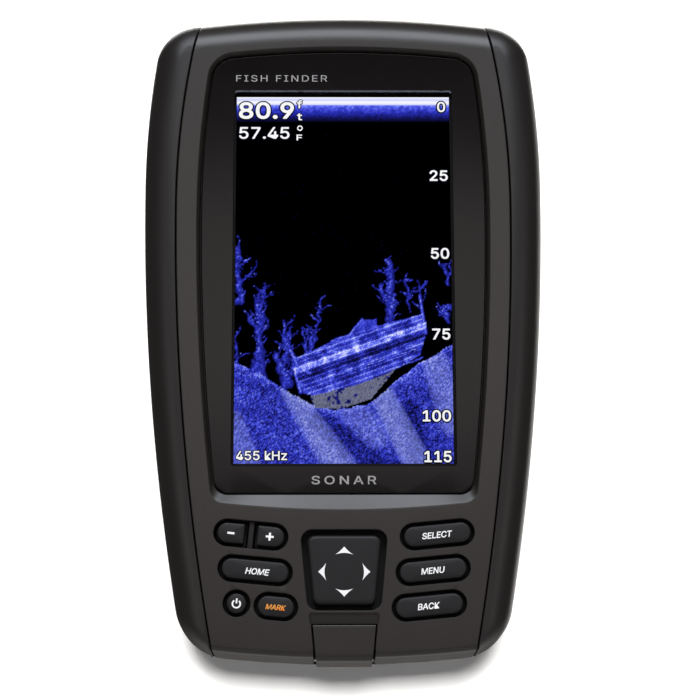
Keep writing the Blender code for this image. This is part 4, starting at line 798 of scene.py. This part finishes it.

# legends, signs and arrows use the print finishes, which carry a painted glow
legends = {
    "home_key": ("HOME", "white", 0.6, -0.35), "mark_key": ("MARK", "orange", 0.0, -0.25),
    "select_key": ("SELECT", "white", -0.1, -0.2), "menu_key": ("MENU", "white", -0.1, -0.2),
    "back_key": ("BACK", "white", -0.2, -0.2),
}
for keyName, (words, finish, shiftX, shiftZ) in legends.items():
    keyX, keyZ, tilt, _ = keys[keyName]
    spot = placedLoop(np.array([(shiftX, shiftZ)]), keyX, keyZ, tilt)[0]
    height = 1.65 if keyName == "mark_key" else 1.95
    textPiece(keyName + "_legend", words, height, spot[0], spot[1], legendDepth, finishes[finish], keyName,
              tilt, bold=0.05, lean=0.2, spacing=0.98)


def barLoop(x0, z0, x1, z1, width):
    along = np.array((x1 - x0, z1 - z0))
    along /= np.linalg.norm(along)
    side = np.array((-along[1], along[0])) * width / 2
    a, b = np.array((x0, z0)), np.array((x1, z1))
    return np.array([a - side, b - side, b + side, a + side])


for keyName, middle, bars in (("zoom_out_key", -4.75, [(-0.85, 0, 0.85, 0)]),
                              ("zoom_in_key", 4.6, [(-0.95, 0, 0.95, 0), (0, -0.95, 0, 0.95)])):
    keyX, keyZ, tilt, _ = keys[keyName]
    spot = placedLoop(np.array([(middle, -0.15)]), keyX, keyZ, tilt)[0]
    loops = [placedLoop(barLoop(*bar, 0.5), spot[0], spot[1], tilt) for bar in bars]
    shapePiece(keyName + "_sign", loops, legendDepth, finishes["white"], keyName)


def powerSign():
    keyX, keyZ, tilt, _ = keys["power_key"]
    angle = np.radians(np.linspace(128, 412, 40))
    outer = np.stack([1.12 * np.cos(angle), 1.12 * np.sin(angle)], -1)
    inner = np.stack([0.74 * np.cos(angle), 0.74 * np.sin(angle)], -1)[::-1]
    arc = placedLoop(np.concatenate([outer, inner]), keyX, keyZ - 0.2, tilt)
    stroke = placedLoop(barLoop(0, 0.1, 0, 1.3, 0.4), keyX, keyZ - 0.2, tilt)
    shapePiece("power_key_sign", [arc, stroke], legendDepth, finishes["white"], "power_key")


powerSign()
print("keys made")


def makePad():
    levels = capLevels(pad["top"], pad["crown"], pad["edge"], pad["bottom"], 8, pad["flange"])
    meshPiece("direction_pad_cap", [ringsPart(padLoop, levels[:-3], (0.0, pad["z"])),
                                    ringsPart(padLoop, levels[-4:], (0.0, pad["z"]), mark=1)],
              [finishes["key"], finishes["rubber"]],
              body="direction_pad", replaces=["direction_pad"])
    # each arrow: a point, two swept shoulders and a hollow base
    tip, spread, rise = 1.0, 2.15, 0.95
    s = np.linspace(-1, 1, 17)
    base = np.stack([s * spread, -rise + 0.42 * (1 - s * s)], -1)
    left = np.linspace(0, 1, 9)[1:-1]
    curve = 0.16 * np.sin(math.pi * left)
    up = np.stack([spread * (1 - left), -rise + (tip + rise) * left - curve], -1)
    arrow = np.concatenate([base, up, [(0, tip)], up[::-1] * (-1, 1)])
    loops = []
    for turn, x, z in ((0, 0.0, -56.5), (90, -5.25, -61.55), (-90, 5.25, -61.6), (180, 0.0, -66.55)):
        a = math.radians(turn)
        loops.append(np.stack([arrow[:, 0] * math.cos(a) - arrow[:, 1] * math.sin(a) + x,
                               arrow[:, 0] * math.sin(a) + arrow[:, 1] * math.cos(a) + z], -1))
    shapePiece("direction_pad_arrows", loops, pad["top"] - pad["crown"] - 0.02, finishes["white"],
               "direction_pad")


makePad()
print("pad made")


def makeDoor():
    # an L-shaped section from the top edge, round the bottom corner, to the heel; across it the ends are
    # rounded
    pivotZ = case["bottom"] - door["proud"] + door["heel"]
    front, under = -door["faceProud"], case["bottom"] - door["proud"]
    bend = 1.5
    turn = np.linspace(0, math.pi / 2, 9)
    edge = 0.35
    topTurn = np.linspace(0, math.pi / 2, 6)
    heelTurn = np.linspace(0, math.pi * 1.28, 22)
    line = np.concatenate([
        [(front + door["wall"], door["top"])],
        np.stack([front + edge - edge * np.sin(topTurn), door["top"] - edge + edge * np.cos(topTurn)], -1),
        np.stack([0 * np.arange(8.0) + front, np.linspace(door["top"] - edge, under + bend, 10)[1:-1]], -1),
        np.stack([front + bend - bend * np.cos(turn), under + bend - bend * np.sin(turn)], -1),
        np.stack([np.linspace(front + bend, door["pivotDepth"], 10)[1:-1], 0 * np.arange(8.0) + under], -1),
        np.stack([door["pivotDepth"] + door["heel"] * np.sin(heelTurn),
                  pivotZ - door["heel"] * np.cos(heelTurn)], -1),
        [(door["pivotDepth"] - 2.2, under + door["wall"]), (front + door["wall"] + 0.4, under + door["wall"]),
         (front + door["wall"], under + door["wall"] + 0.4)]])
    step = np.roll(line, -1, axis=0) - line
    step /= np.maximum(np.linalg.norm(step, axis=1), 1e-9)[:, None]
    normal = np.stack([step[:, 1], -step[:, 0]], -1)
    normal = normal + np.roll(normal, 1, axis=0)
    normal /= np.linalg.norm(normal, axis=1)[:, None]
    centre = line.mean(axis=0)
    radius = 0.3
    angle = np.linspace(0, math.pi / 2, 5)
    stations = [(1 - math.sin(a), math.cos(a)) for a in angle[::-1]]
    rows = []
    area = 0.5 * (line[:, 0] * np.roll(line[:, 1], -1) - np.roll(line[:, 0], -1) * line[:, 1]).sum()
    inward = -normal * np.sign(area)
    for hand in (1, -1):
        for inset, back in (stations[::-1] if hand > 0 else stations):
            shifted = line + inward * radius * inset
            width = doorHalf(shifted[:, 1]) - radius * back
            rows.append(toFrame(hand * width, shifted[:, 0], shifted[:, 1]))
    grid = np.array(rows)
    parts = [gridPart(grid, True)]
    for index in (0, -1):
        ring = grid[index]
        triangles = tessellate_polygon([[tuple(p) for p in (ring * 1000)[:, [1, 2]]
                                         @ np.array([[1, 0, 0], [0, 1, 0]])]])
        parts.append((ring, np.array(triangles), 0))
    meshPiece("card_door_skin", parts, [finishes["bezel"]], body="card_door",
              replaces=["card_door"])


makeDoor()
print("door made")

# The picture: intensity on a fine grid, then a blue ramp. In it x runs to the right, from 0 to across, and
# y runs down, from 0 to down; together they cover the lit area.
picture = {"columns": 216, "rows": 381, "seed": 11, "across": 863, "down": 1465}


def softNoise(rng, rows, columns, cells):
    # random values on a coarse grid, blended smoothly between
    coarse = rng.random((int(cells[0]) + 2, int(cells[1]) + 2))
    v = np.linspace(0, cells[0], rows)[:, None]
    u = np.linspace(0, cells[1], columns)[None, :]
    i, j = v.astype(int), u.astype(int)
    a, b = v - i, u - j
    a, b = a * a * (3 - 2 * a), b * b * (3 - 2 * b)
    return (coarse[i, j] * (1 - a) * (1 - b) + coarse[i + 1, j] * a * (1 - b)
            + coarse[i, j + 1] * (1 - a) * b + coarse[i + 1, j + 1] * a * b)


def strokeField(x, y, x0, y0, x1, y1, width0, width1):
    # how deep a point lies inside a tapering stroke, 1 on its line and 0 outside
    dx, dy = x1 - x0, y1 - y0
    t = np.clip(((x - x0) * dx + (y - y0) * dy) / (dx * dx + dy * dy), 0, 1)
    away = np.hypot(x - x0 - t * dx, y - y0 - t * dy)
    return np.clip(1 - away / (width0 + (width1 - width0) * t), 0, 1)


def insideShape(x, y, corners):
    flat = np.stack([x.ravel(), y.ravel()], -1)
    return insideLoop(flat, np.array(corners, float)).reshape(x.shape)


def sonarPicture(rows, columns):
    rng = np.random.default_rng(picture["seed"])
    x = np.linspace(0, picture["across"], columns)[None, :] * np.ones((rows, 1))
    y = np.linspace(0, picture["down"], rows)[:, None] * np.ones((1, columns))
    speck = rng.random((rows, columns))
    fine = softNoise(rng, rows, columns, (190, 108))
    mid = softNoise(rng, rows, columns, (60, 34))
    broad = softNoise(rng, rows, columns, (16, 9))
    value = np.zeros((rows, columns))
    # surface clutter: bright lines, then a band that fades
    lines = 0.72 + 0.28 * np.cos(y / 3.4)
    value = np.where(y < 34, 0.78 + 0.22 * lines, value)
    band = np.clip(1 - (y - 34) / 70, 0, 1) ** 0.8
    value = np.where(y >= 34, band * (0.50 + 0.22 * fine + 0.16 * (speck - 0.5)), value)
    # standing timber
    strokes = [
        (3, 615, 20, 830, 14, 16), (8, 700, 55, 655, 9, 5), (10, 770, 85, 690, 10, 4),
        (5, 830, 40, 790, 10, 6), (18, 610, 8, 700, 6, 10), (92, 790, 105, 1120, 9, 24),
        (60, 905, 105, 960, 6, 10), (40, 870, 75, 925, 5, 9), (128, 845, 105, 930, 6, 11),
        (118, 760, 105, 860, 4, 10), (112, 960, 132, 900, 6, 5), (80, 1100, 100, 1000, 24, 14),
        (198, 905, 205, 1060, 6, 16), (225, 930, 210, 1000, 5, 9), (215, 1000, 240, 1060, 8, 14),
        (345, 820, 312, 1010, 3, 10), (268, 930, 290, 1040, 4, 9), (312, 950, 300, 1030, 8, 9),
        (612, 665, 620, 900, 15, 22), (575, 760, 612, 850, 7, 12), (585, 790, 560, 770, 6, 3),
        (640, 800, 622, 860, 7, 10), (680, 745, 695, 870, 9, 5), (672, 745, 700, 745, 7, 7),
        (735, 800, 752, 880, 4, 9), (726, 745, 735, 800, 3, 4), (835, 680, 850, 760, 10, 6),
        (862, 690, 845, 750, 8, 5), (835, 860, 850, 910, 14, 8), (820, 880, 860, 850, 8, 12),
        (5, 950, 5, 1080, 5, 8), (165, 1040, 210, 1150, 18, 26), (240, 1080, 190, 1180, 18, 18),
    ]
    twigs = []
    for x0, y0, x1, y1, w0, w1 in strokes:
        for t in rng.random(int(np.hypot(x1 - x0, y1 - y0) / 22)):
            lean, reach = rng.uniform(-1.2, 1.2), rng.uniform(24, 58)
            startX, startY = x0 + t * (x1 - x0), y0 + t * (y1 - y0)
            endX, endY = startX + reach * math.sin(lean), startY - reach * math.cos(lean)
            twigs.append((startX, startY, endX, endY, 5, 2))
    for stroke in strokes + twigs:
        field = strokeField(x + 18 * (mid - 0.5) + 8 * (fine - 0.5), y + 14 * (fine - 0.5), *stroke)
        field = field * (0.55 + 0.9 * (fine - 0.25))
        value = np.maximum(value, np.where(field > 0.1, 0.20 + 0.42 * field * (0.2 + 1.1 * speck), 0))
    # the sunken boat: a long hull with lit planks and a low cabin
    hull = insideShape(x, y, [(225, 1060), (440, 962), (600, 915), (745, 880), (760, 905), (758, 960),
                              (735, 1040),
                              (610, 1110), (480, 1160), (320, 1200), (262, 1185), (240, 1110)])
    along = (x - 225) * 0.945 + (y - 1060) * -0.327
    across = (x - 225) * 0.327 + (y - 1060) * 0.945
    planks = 0.5 + 0.5 * np.cos(across / 8.5 + 1.2 * broad)
    ribs = 0.5 + 0.5 * np.cos(along / 21.0)
    thin = np.clip(np.cos(across / 2.9 + 0.9 * mid) * 2 - 1, 0, 1)
    body = 0.30 + 0.10 * planks + 0.05 * ribs + 0.22 * thin + 0.34 * (mid - 0.5) + 0.30 * (speck - 0.5)
    body -= 0.20 * np.clip(1 - np.abs(across - 75) / 26, 0, 1) * (0.4 + mid)
    body += 0.34 * np.clip(1 - np.abs(across - 40) / 22, 0, 1) * (0.5 + fine)
    value = np.where(hull, body, value)
    cabin = insideShape(x, y, [(455, 965), (505, 900), (565, 898), (560, 945)])
    value = np.where(cabin, 0.44 + 0.2 * (speck - 0.5) + 0.2 * (mid - 0.5), value)
    for line in ((228, 1058, 745, 880, 5, 5), (245, 1088, 560, 985, 8, 5), (235, 1090, 300, 1110, 14, 8),
                 (400, 975, 740, 885, 3, 3), (450, 965, 505, 900, 6, 6), (300, 1150, 735, 1010, 4, 4),
                 (470, 1150, 745, 1050, 4, 3), (735, 800, 757, 950, 5, 10), (220, 1020, 250, 1080, 10, 8),
                 (262, 1185, 240, 1110, 8, 8), (380, 985, 470, 955, 3, 3)):
        field = strokeField(x, y + 5 * (fine - 0.5), *line)
        value = np.maximum(value, field ** 0.6 * (0.50 + 0.28 * speck))
    # the sea bed, with a dip under the boat and broad lighter beams
    bedX = np.array([0, 60, 120, 210, 300, 400, 520, 600, 640, 720, 790, 863])
    bedY = np.array([1070, 1092, 1125, 1180, 1235, 1255, 1232, 1180, 1140, 1080, 1040, 995])
    bedTop = np.interp(x, bedX, bedY) + 9 * (mid - 0.5)
    bed = y > bedTop
    beams = np.zeros_like(value)
    for x0, y0, x1, y1, w0, w1, gain in (
            (220, 1180, 420, 1480, 40, 70, 0.16), (560, 1150, 740, 1500, 50, 60, 0.20),
            (0, 1290, 60, 1480, 40, 60, 0.10),
            (800, 1080, 863, 1300, 60, 60, 0.12), (470, 1260, 560, 1350, 60, 60, 0.08)):
        beam = np.clip(1.6 * strokeField(x, y, x0, y0, x1, y1, w0, w1), 0, 1) ** 0.5
        beams = np.maximum(beams, gain * beam)
    darker = np.clip(strokeField(x, y, 330, 1290, 560, 1480, 50, 80) * 2, 0, 1) * 0.16
    darker = np.maximum(darker, np.clip(strokeField(x, y, 690, 1260, 740, 1440, 50, 60) * 2, 0, 1) * 0.13)
    ground = 0.385 + 0.44 * (speck - 0.5) + 0.16 * (fine - 0.5) + 0.12 * (broad - 0.5) + beams - darker
    ground += 0.16 * np.clip(1 - (y - bedTop) / 26, 0, 1)
    value = np.where(bed, ground, value)
    shade = insideShape(x, y, [(300, 1200), (470, 1160), (600, 1115), (640, 1090), (600, 1140), (540, 1210),
                               (420, 1250), (320, 1245)])
    grey = shade & (mid + 0.6 * fine > 0.62)
    value = np.where(shade & ~grey, 0.24 + 0.2 * (speck - 0.5), value)
    value = np.where((value < 0.03) & (speck > 0.9985) & (y > 150), 0.12, value)
    value = np.clip(value, 0, 1)
    stops = np.array([0.0, 0.12, 0.25, 0.42, 0.58, 0.72, 0.86, 1.0])
    red = np.interp(value, stops, [0.0, 0.004, 0.008, 0.022, 0.085, 0.26, 0.58, 0.95])
    green = np.interp(value, stops, [0.0, 0.004, 0.009, 0.030, 0.110, 0.32, 0.62, 0.95])
    blue = np.interp(value, stops, [0.0, 0.03, 0.13, 0.48, 0.84, 0.97, 1.0, 1.0])
    colour = np.stack([red, green, blue], -1)
    pale = np.clip(beams * 3.4, 0, 0.55)[..., None] * bed[..., None]
    colour = colour * (1 - pale) + pale * np.array((0.17, 0.20, 0.46)) * (0.6 + 0.8 * speck[..., None])
    colour = np.where(grey[..., None], np.array((0.13, 0.14, 0.22)) * (0.6 + 0.8 * speck[..., None]), colour)
    return colour


def lightMaterial(name, colour=None, strength=1.0):
    made = bpy.data.materials.new(name)
    made.use_nodes = True
    nodes, links = made.node_tree.nodes, made.node_tree.links
    shader = nodes["Principled BSDF"]
    shader.inputs["Base Color"].default_value = (0.0, 0.0, 0.0, 1.0)
    shader.inputs["Specular IOR Level"].default_value = 0.0
    shader.inputs["Emission Strength"].default_value = strength
    if colour is None:
        stored = nodes.new("ShaderNodeAttribute")
        stored.attribute_name = "picture"
        links.new(stored.outputs["Color"], shader.inputs["Emission Color"])
    else:
        shader.inputs["Emission Color"].default_value = (*colour, 1.0)
    return made


def makePicture():
    rows, columns = picture["rows"], picture["columns"]
    x = np.linspace(-0.5, 0.5, columns)[None, :] * screen["width"]
    z = screen["z"] + np.linspace(0.5, -0.5, rows)[:, None] * screen["height"]
    points, faces, _ = gridPart(toFrame(x, screen["depth"] - 0.04, z))
    mesh = bpy.data.meshes.new("sonar_picture")
    mesh.from_pydata(points.tolist(), [], faces[:, ::-1].tolist())
    colour = sonarPicture(rows, columns).reshape(-1, 3)
    stored = mesh.attributes.new("picture", "FLOAT_COLOR", "POINT")
    opaque = np.concatenate([colour, np.ones((len(colour), 1))], 1)
    stored.data.foreach_set("color", opaque.astype(np.float32).ravel())
    flatPiece("sonar_picture", mesh, lightMaterial("picture_light"), "case")


makePicture()
readoutWhite = lightMaterial("readout_white", (0.92, 0.92, 0.94))
readoutBlack = lightMaterial("readout_black", (0.0, 0.0, 0.004))
readouts = [
    # name, words, height, x, z, side, heaviness, width
    ("depth_value", "80.9", 5.6, -26.2, 56.9, "LEFT", 0.18, 13.6),
    ("depth_unit_f", "f", 2.7, -11.6, 58.6, "LEFT", 0.07, 1.2),
    ("depth_unit_t", "t", 2.5, -11.6, 55.2, "LEFT", 0.07, 1.2),
    ("water_temperature", "57.45", 4.1, -26.2, 50.9, "LEFT", 0.08, 12.6),
    ("temperature_unit", "F", 2.0, -11.7, 49.7, "LEFT", 0.06, 1.3),
    ("scale_0", "0", 3.5, 25.9, 57.9, "RIGHT", 0.08, 1.9),
    ("scale_25", "25", 3.6, 26.3, 39.6, "RIGHT", 0.1, 4.4),
    ("scale_50", "50", 3.6, 26.4, 19.2, "RIGHT", 0.1, 4.4),
    ("scale_75", "75", 3.6, 26.4, -1.6, "RIGHT", 0.1, 4.3),
    ("scale_100", "100", 3.6, 26.3, -22.3, "RIGHT", 0.1, 6.8),
    ("scale_115", "115", 3.6, 26.3, -32.5, "RIGHT", 0.1, 6.5),
    ("sounder_band", "455 kHz", 3.0, -26.3, -32.2, "LEFT", 0.05, 12.4),
]
for name, words, height, x, z, align, bold, width in readouts:
    textPiece(name, words, height, x, z, screen["depth"] - 0.16, readoutWhite,
              align=align,
              bold=bold, width=width)
    textPiece(name + "_edge", words, height, x, z, screen["depth"] - 0.08, readoutBlack,
              align=align, bold=bold + (0.34 if height > 3 else 0.24), width=width)
around = np.radians(np.linspace(0, 360, 25))[:-1]
degree = np.stack([np.cos(around), np.sin(around)], -1)
shapePiece("temperature_degree", [degree * 0.72 + (-10.9, 52.2)], screen["depth"] - 0.12, readoutWhite,
           holes=[degree * 0.42 + (-10.9, 52.2)])
textPiece("border_words_top", "FISH FINDER", 2.3, -27.0, 64.1, window["printDepth"] - 0.02,
          finishes["silver"],
          align="LEFT", width=23.0, spacing=1.2)
textPiece("border_words_bottom", "SONAR", 2.7, 0.0, -39.0, window["printDepth"] - 0.02, finishes["silver"],
          bold=0.05, width=15.6, spacing=1.3)
print("picture and readouts made")

# Stage: a pale floor, a white sheet close behind that is only seen from the front, and soft lights.
stage = {"floorZ": -0.65, "sheetY": 0.003, "world": 0.07, "sheet": 0.92}


def stagePlane(name, corners, material):
    mesh = bpy.data.meshes.new(name)
    mesh.from_pydata(corners, [], [(0, 1, 2, 3)])
    mesh.materials.append(material)
    plane = bpy.data.objects.new(name, mesh)
    bpy.context.scene.collection.objects.link(plane)
    return plane


def makeStage():
    pale = bpy.data.materials.new("pale_floor")
    pale.use_nodes = True
    pale.node_tree.nodes["Principled BSDF"].inputs["Base Color"].default_value = (0.86, 0.83, 0.80, 1.0)
    pale.node_tree.nodes["Principled BSDF"].inputs["Roughness"].default_value = 0.9
    wide = 3.0
    floorZ = stage["floorZ"]
    stagePlane("floor", [(-wide, -wide, floorZ), (wide, -wide, floorZ), (wide, wide, floorZ),
                         (-wide, wide, floorZ)],
               pale)
    sheet = bpy.data.materials.new("white_sheet")
    sheet.use_nodes = True
    nodes, links = sheet.node_tree.nodes, sheet.node_tree.links
    shader = nodes["Principled BSDF"]
    shader.inputs["Base Color"].default_value = (stage["sheet"], stage["sheet"], stage["sheet"], 1.0)
    shader.inputs["Roughness"].default_value = 1.0
    shader.inputs["Specular IOR Level"].default_value = 0.0
    seeThrough = nodes.new("ShaderNodeBsdfTransparent")
    facing = nodes.new("ShaderNodeNewGeometry")
    mix = nodes.new("ShaderNodeMixShader")
    links.new(facing.outputs["Backfacing"], mix.inputs["Fac"])
    links.new(shader.outputs["BSDF"], mix.inputs[1])
    links.new(seeThrough.outputs["BSDF"], mix.inputs[2])
    links.new(mix.outputs["Shader"], nodes["Material Output"].inputs["Surface"])
    half, y = 0.5, stage["sheetY"]
    foot = floorZ + 0.005
    hung = stagePlane("sheet", [(-half, y, foot), (half, y, foot), (half, y, half), (-half, y, half)], sheet)
    hung.visible_diffuse = False
    hung.visible_glossy = False
    hung.visible_transmission = False
    world = bpy.data.worlds.new("studio")
    world.use_nodes = True
    nodes, links = world.node_tree.nodes, world.node_tree.links
    nodes["Background"].inputs["Color"].default_value = (1.0, 0.97, 0.94, 1.0)
    seen = nodes.new("ShaderNodeLightPath")
    level = nodes.new("ShaderNodeMapRange")
    level.inputs["To Min"].default_value = stage["world"]
    level.inputs["To Max"].default_value = 1.0
    links.new(seen.outputs["Is Camera Ray"], level.inputs["Value"])
    links.new(level.outputs["Result"], nodes["Background"].inputs["Strength"])
    bpy.context.scene.world = world


lamps = [
    # name, place, aim, size x, size y, power, colour
    ("key_above", (0.0, -0.80, 0.98), (0.0, -0.03, 0.02), 1.3, 0.65, 16.5, (0.86, 0.91, 1.0)),
    ("front_soft", (0.0, -1.5, 0.37), (0.0, 0.0, 0.0), 1.0, 0.28, 1.7, (1.0, 0.93, 0.90)),
    ("fill_left", (-1.2, -1.1, 0.02), (0.0, 0.0, -0.03), 0.5, 0.6, 1.6, (1.0, 0.96, 0.92)),
    ("fill_right", (1.3, -1.0, 0.05), (0.0, 0.0, -0.03), 0.5, 0.6, 1.6, (1.0, 0.96, 0.92)),
    ("low_front", (0.0, -1.4, -0.55), (0.0, 0.0, -0.06), 1.0, 0.3, 0.15, (1.0, 0.94, 0.89)),
    ("back_above", (0.0, 1.0, 0.9), (0.0, 0.0, 0.0), 1.2, 0.8, 15.0, (1.0, 0.98, 0.95)),
    ("back_left", (1.0, 1.7, 0.35), (0.0, 0.0, 0.0), 1.2, 1.2, 9.0, (1.0, 0.98, 0.95)),
    ("sheet_lamp", (0.0, -3.0, 0.16), (0.0, 0.0, -0.08), 0.6, 0.5, 160.0, (1.0, 0.985, 0.96)),
]


def makeLamps():
    for name, place, aim, sizeX, sizeY, power, colour in lamps:
        light = bpy.data.lights.new(name, "AREA")
        light.shape = "RECTANGLE"
        light.size = sizeX
        light.size_y = sizeY
        light.energy = power
        light.color = colour
        lamp = bpy.data.objects.new(name, light)
        bpy.context.scene.collection.objects.link(lamp)
        lamp.location = place
        back = np.array(place) - np.array(aim)
        back /= np.linalg.norm(back)
        right = np.cross((0.0, 0.0, 1.0), back)
        right /= np.linalg.norm(right)
        up = np.cross(back, right)
        lamp.rotation_mode = "QUATERNION"
        lamp.rotation_quaternion = Matrix(np.stack([right, up, back], 1).tolist()).to_quaternion()
        # one lamp is for the sheet alone, and the others leave it out
        lit = bpy.data.collections.new(name + "_lit")
        lit.objects.link(bpy.data.objects["sheet"])
        lit.collection_objects[0].light_linking.link_state = "INCLUDE" if name == "sheet_lamp" else "EXCLUDE"
        lamp.light_linking.receiver_collection = lit


camera = {"place": (-0.0047, -0.5793, -0.1376), "forward": (0.01134, 0.97140, 0.23721),
          "up": (0.00032, -0.23718, 0.97146), "lens": 115.71}


def makeCamera():
    data = bpy.data.cameras.new("camera")
    data.lens = camera["lens"]
    data.sensor_width = 36.0
    data.clip_start, data.clip_end = 0.01, 20.0
    made = bpy.data.objects.new("camera", data)
    bpy.context.scene.collection.objects.link(made)
    forward = np.array(camera["forward"]) / np.linalg.norm(camera["forward"])
    right = np.cross(forward, camera["up"])
    right /= np.linalg.norm(right)
    up = np.cross(right, forward)
    made.matrix_world = Matrix(np.block([[np.stack([right, up, -forward], 1), np.array([camera["place"]]).T],
                                         [np.zeros((1, 3)), np.ones((1, 1))]]).tolist())
    bpy.context.scene.camera = made


makeStage()
makeLamps()
makeCamera()
bpy.context.scene.view_settings.view_transform = "Standard"
print("stage, lights and camera made")
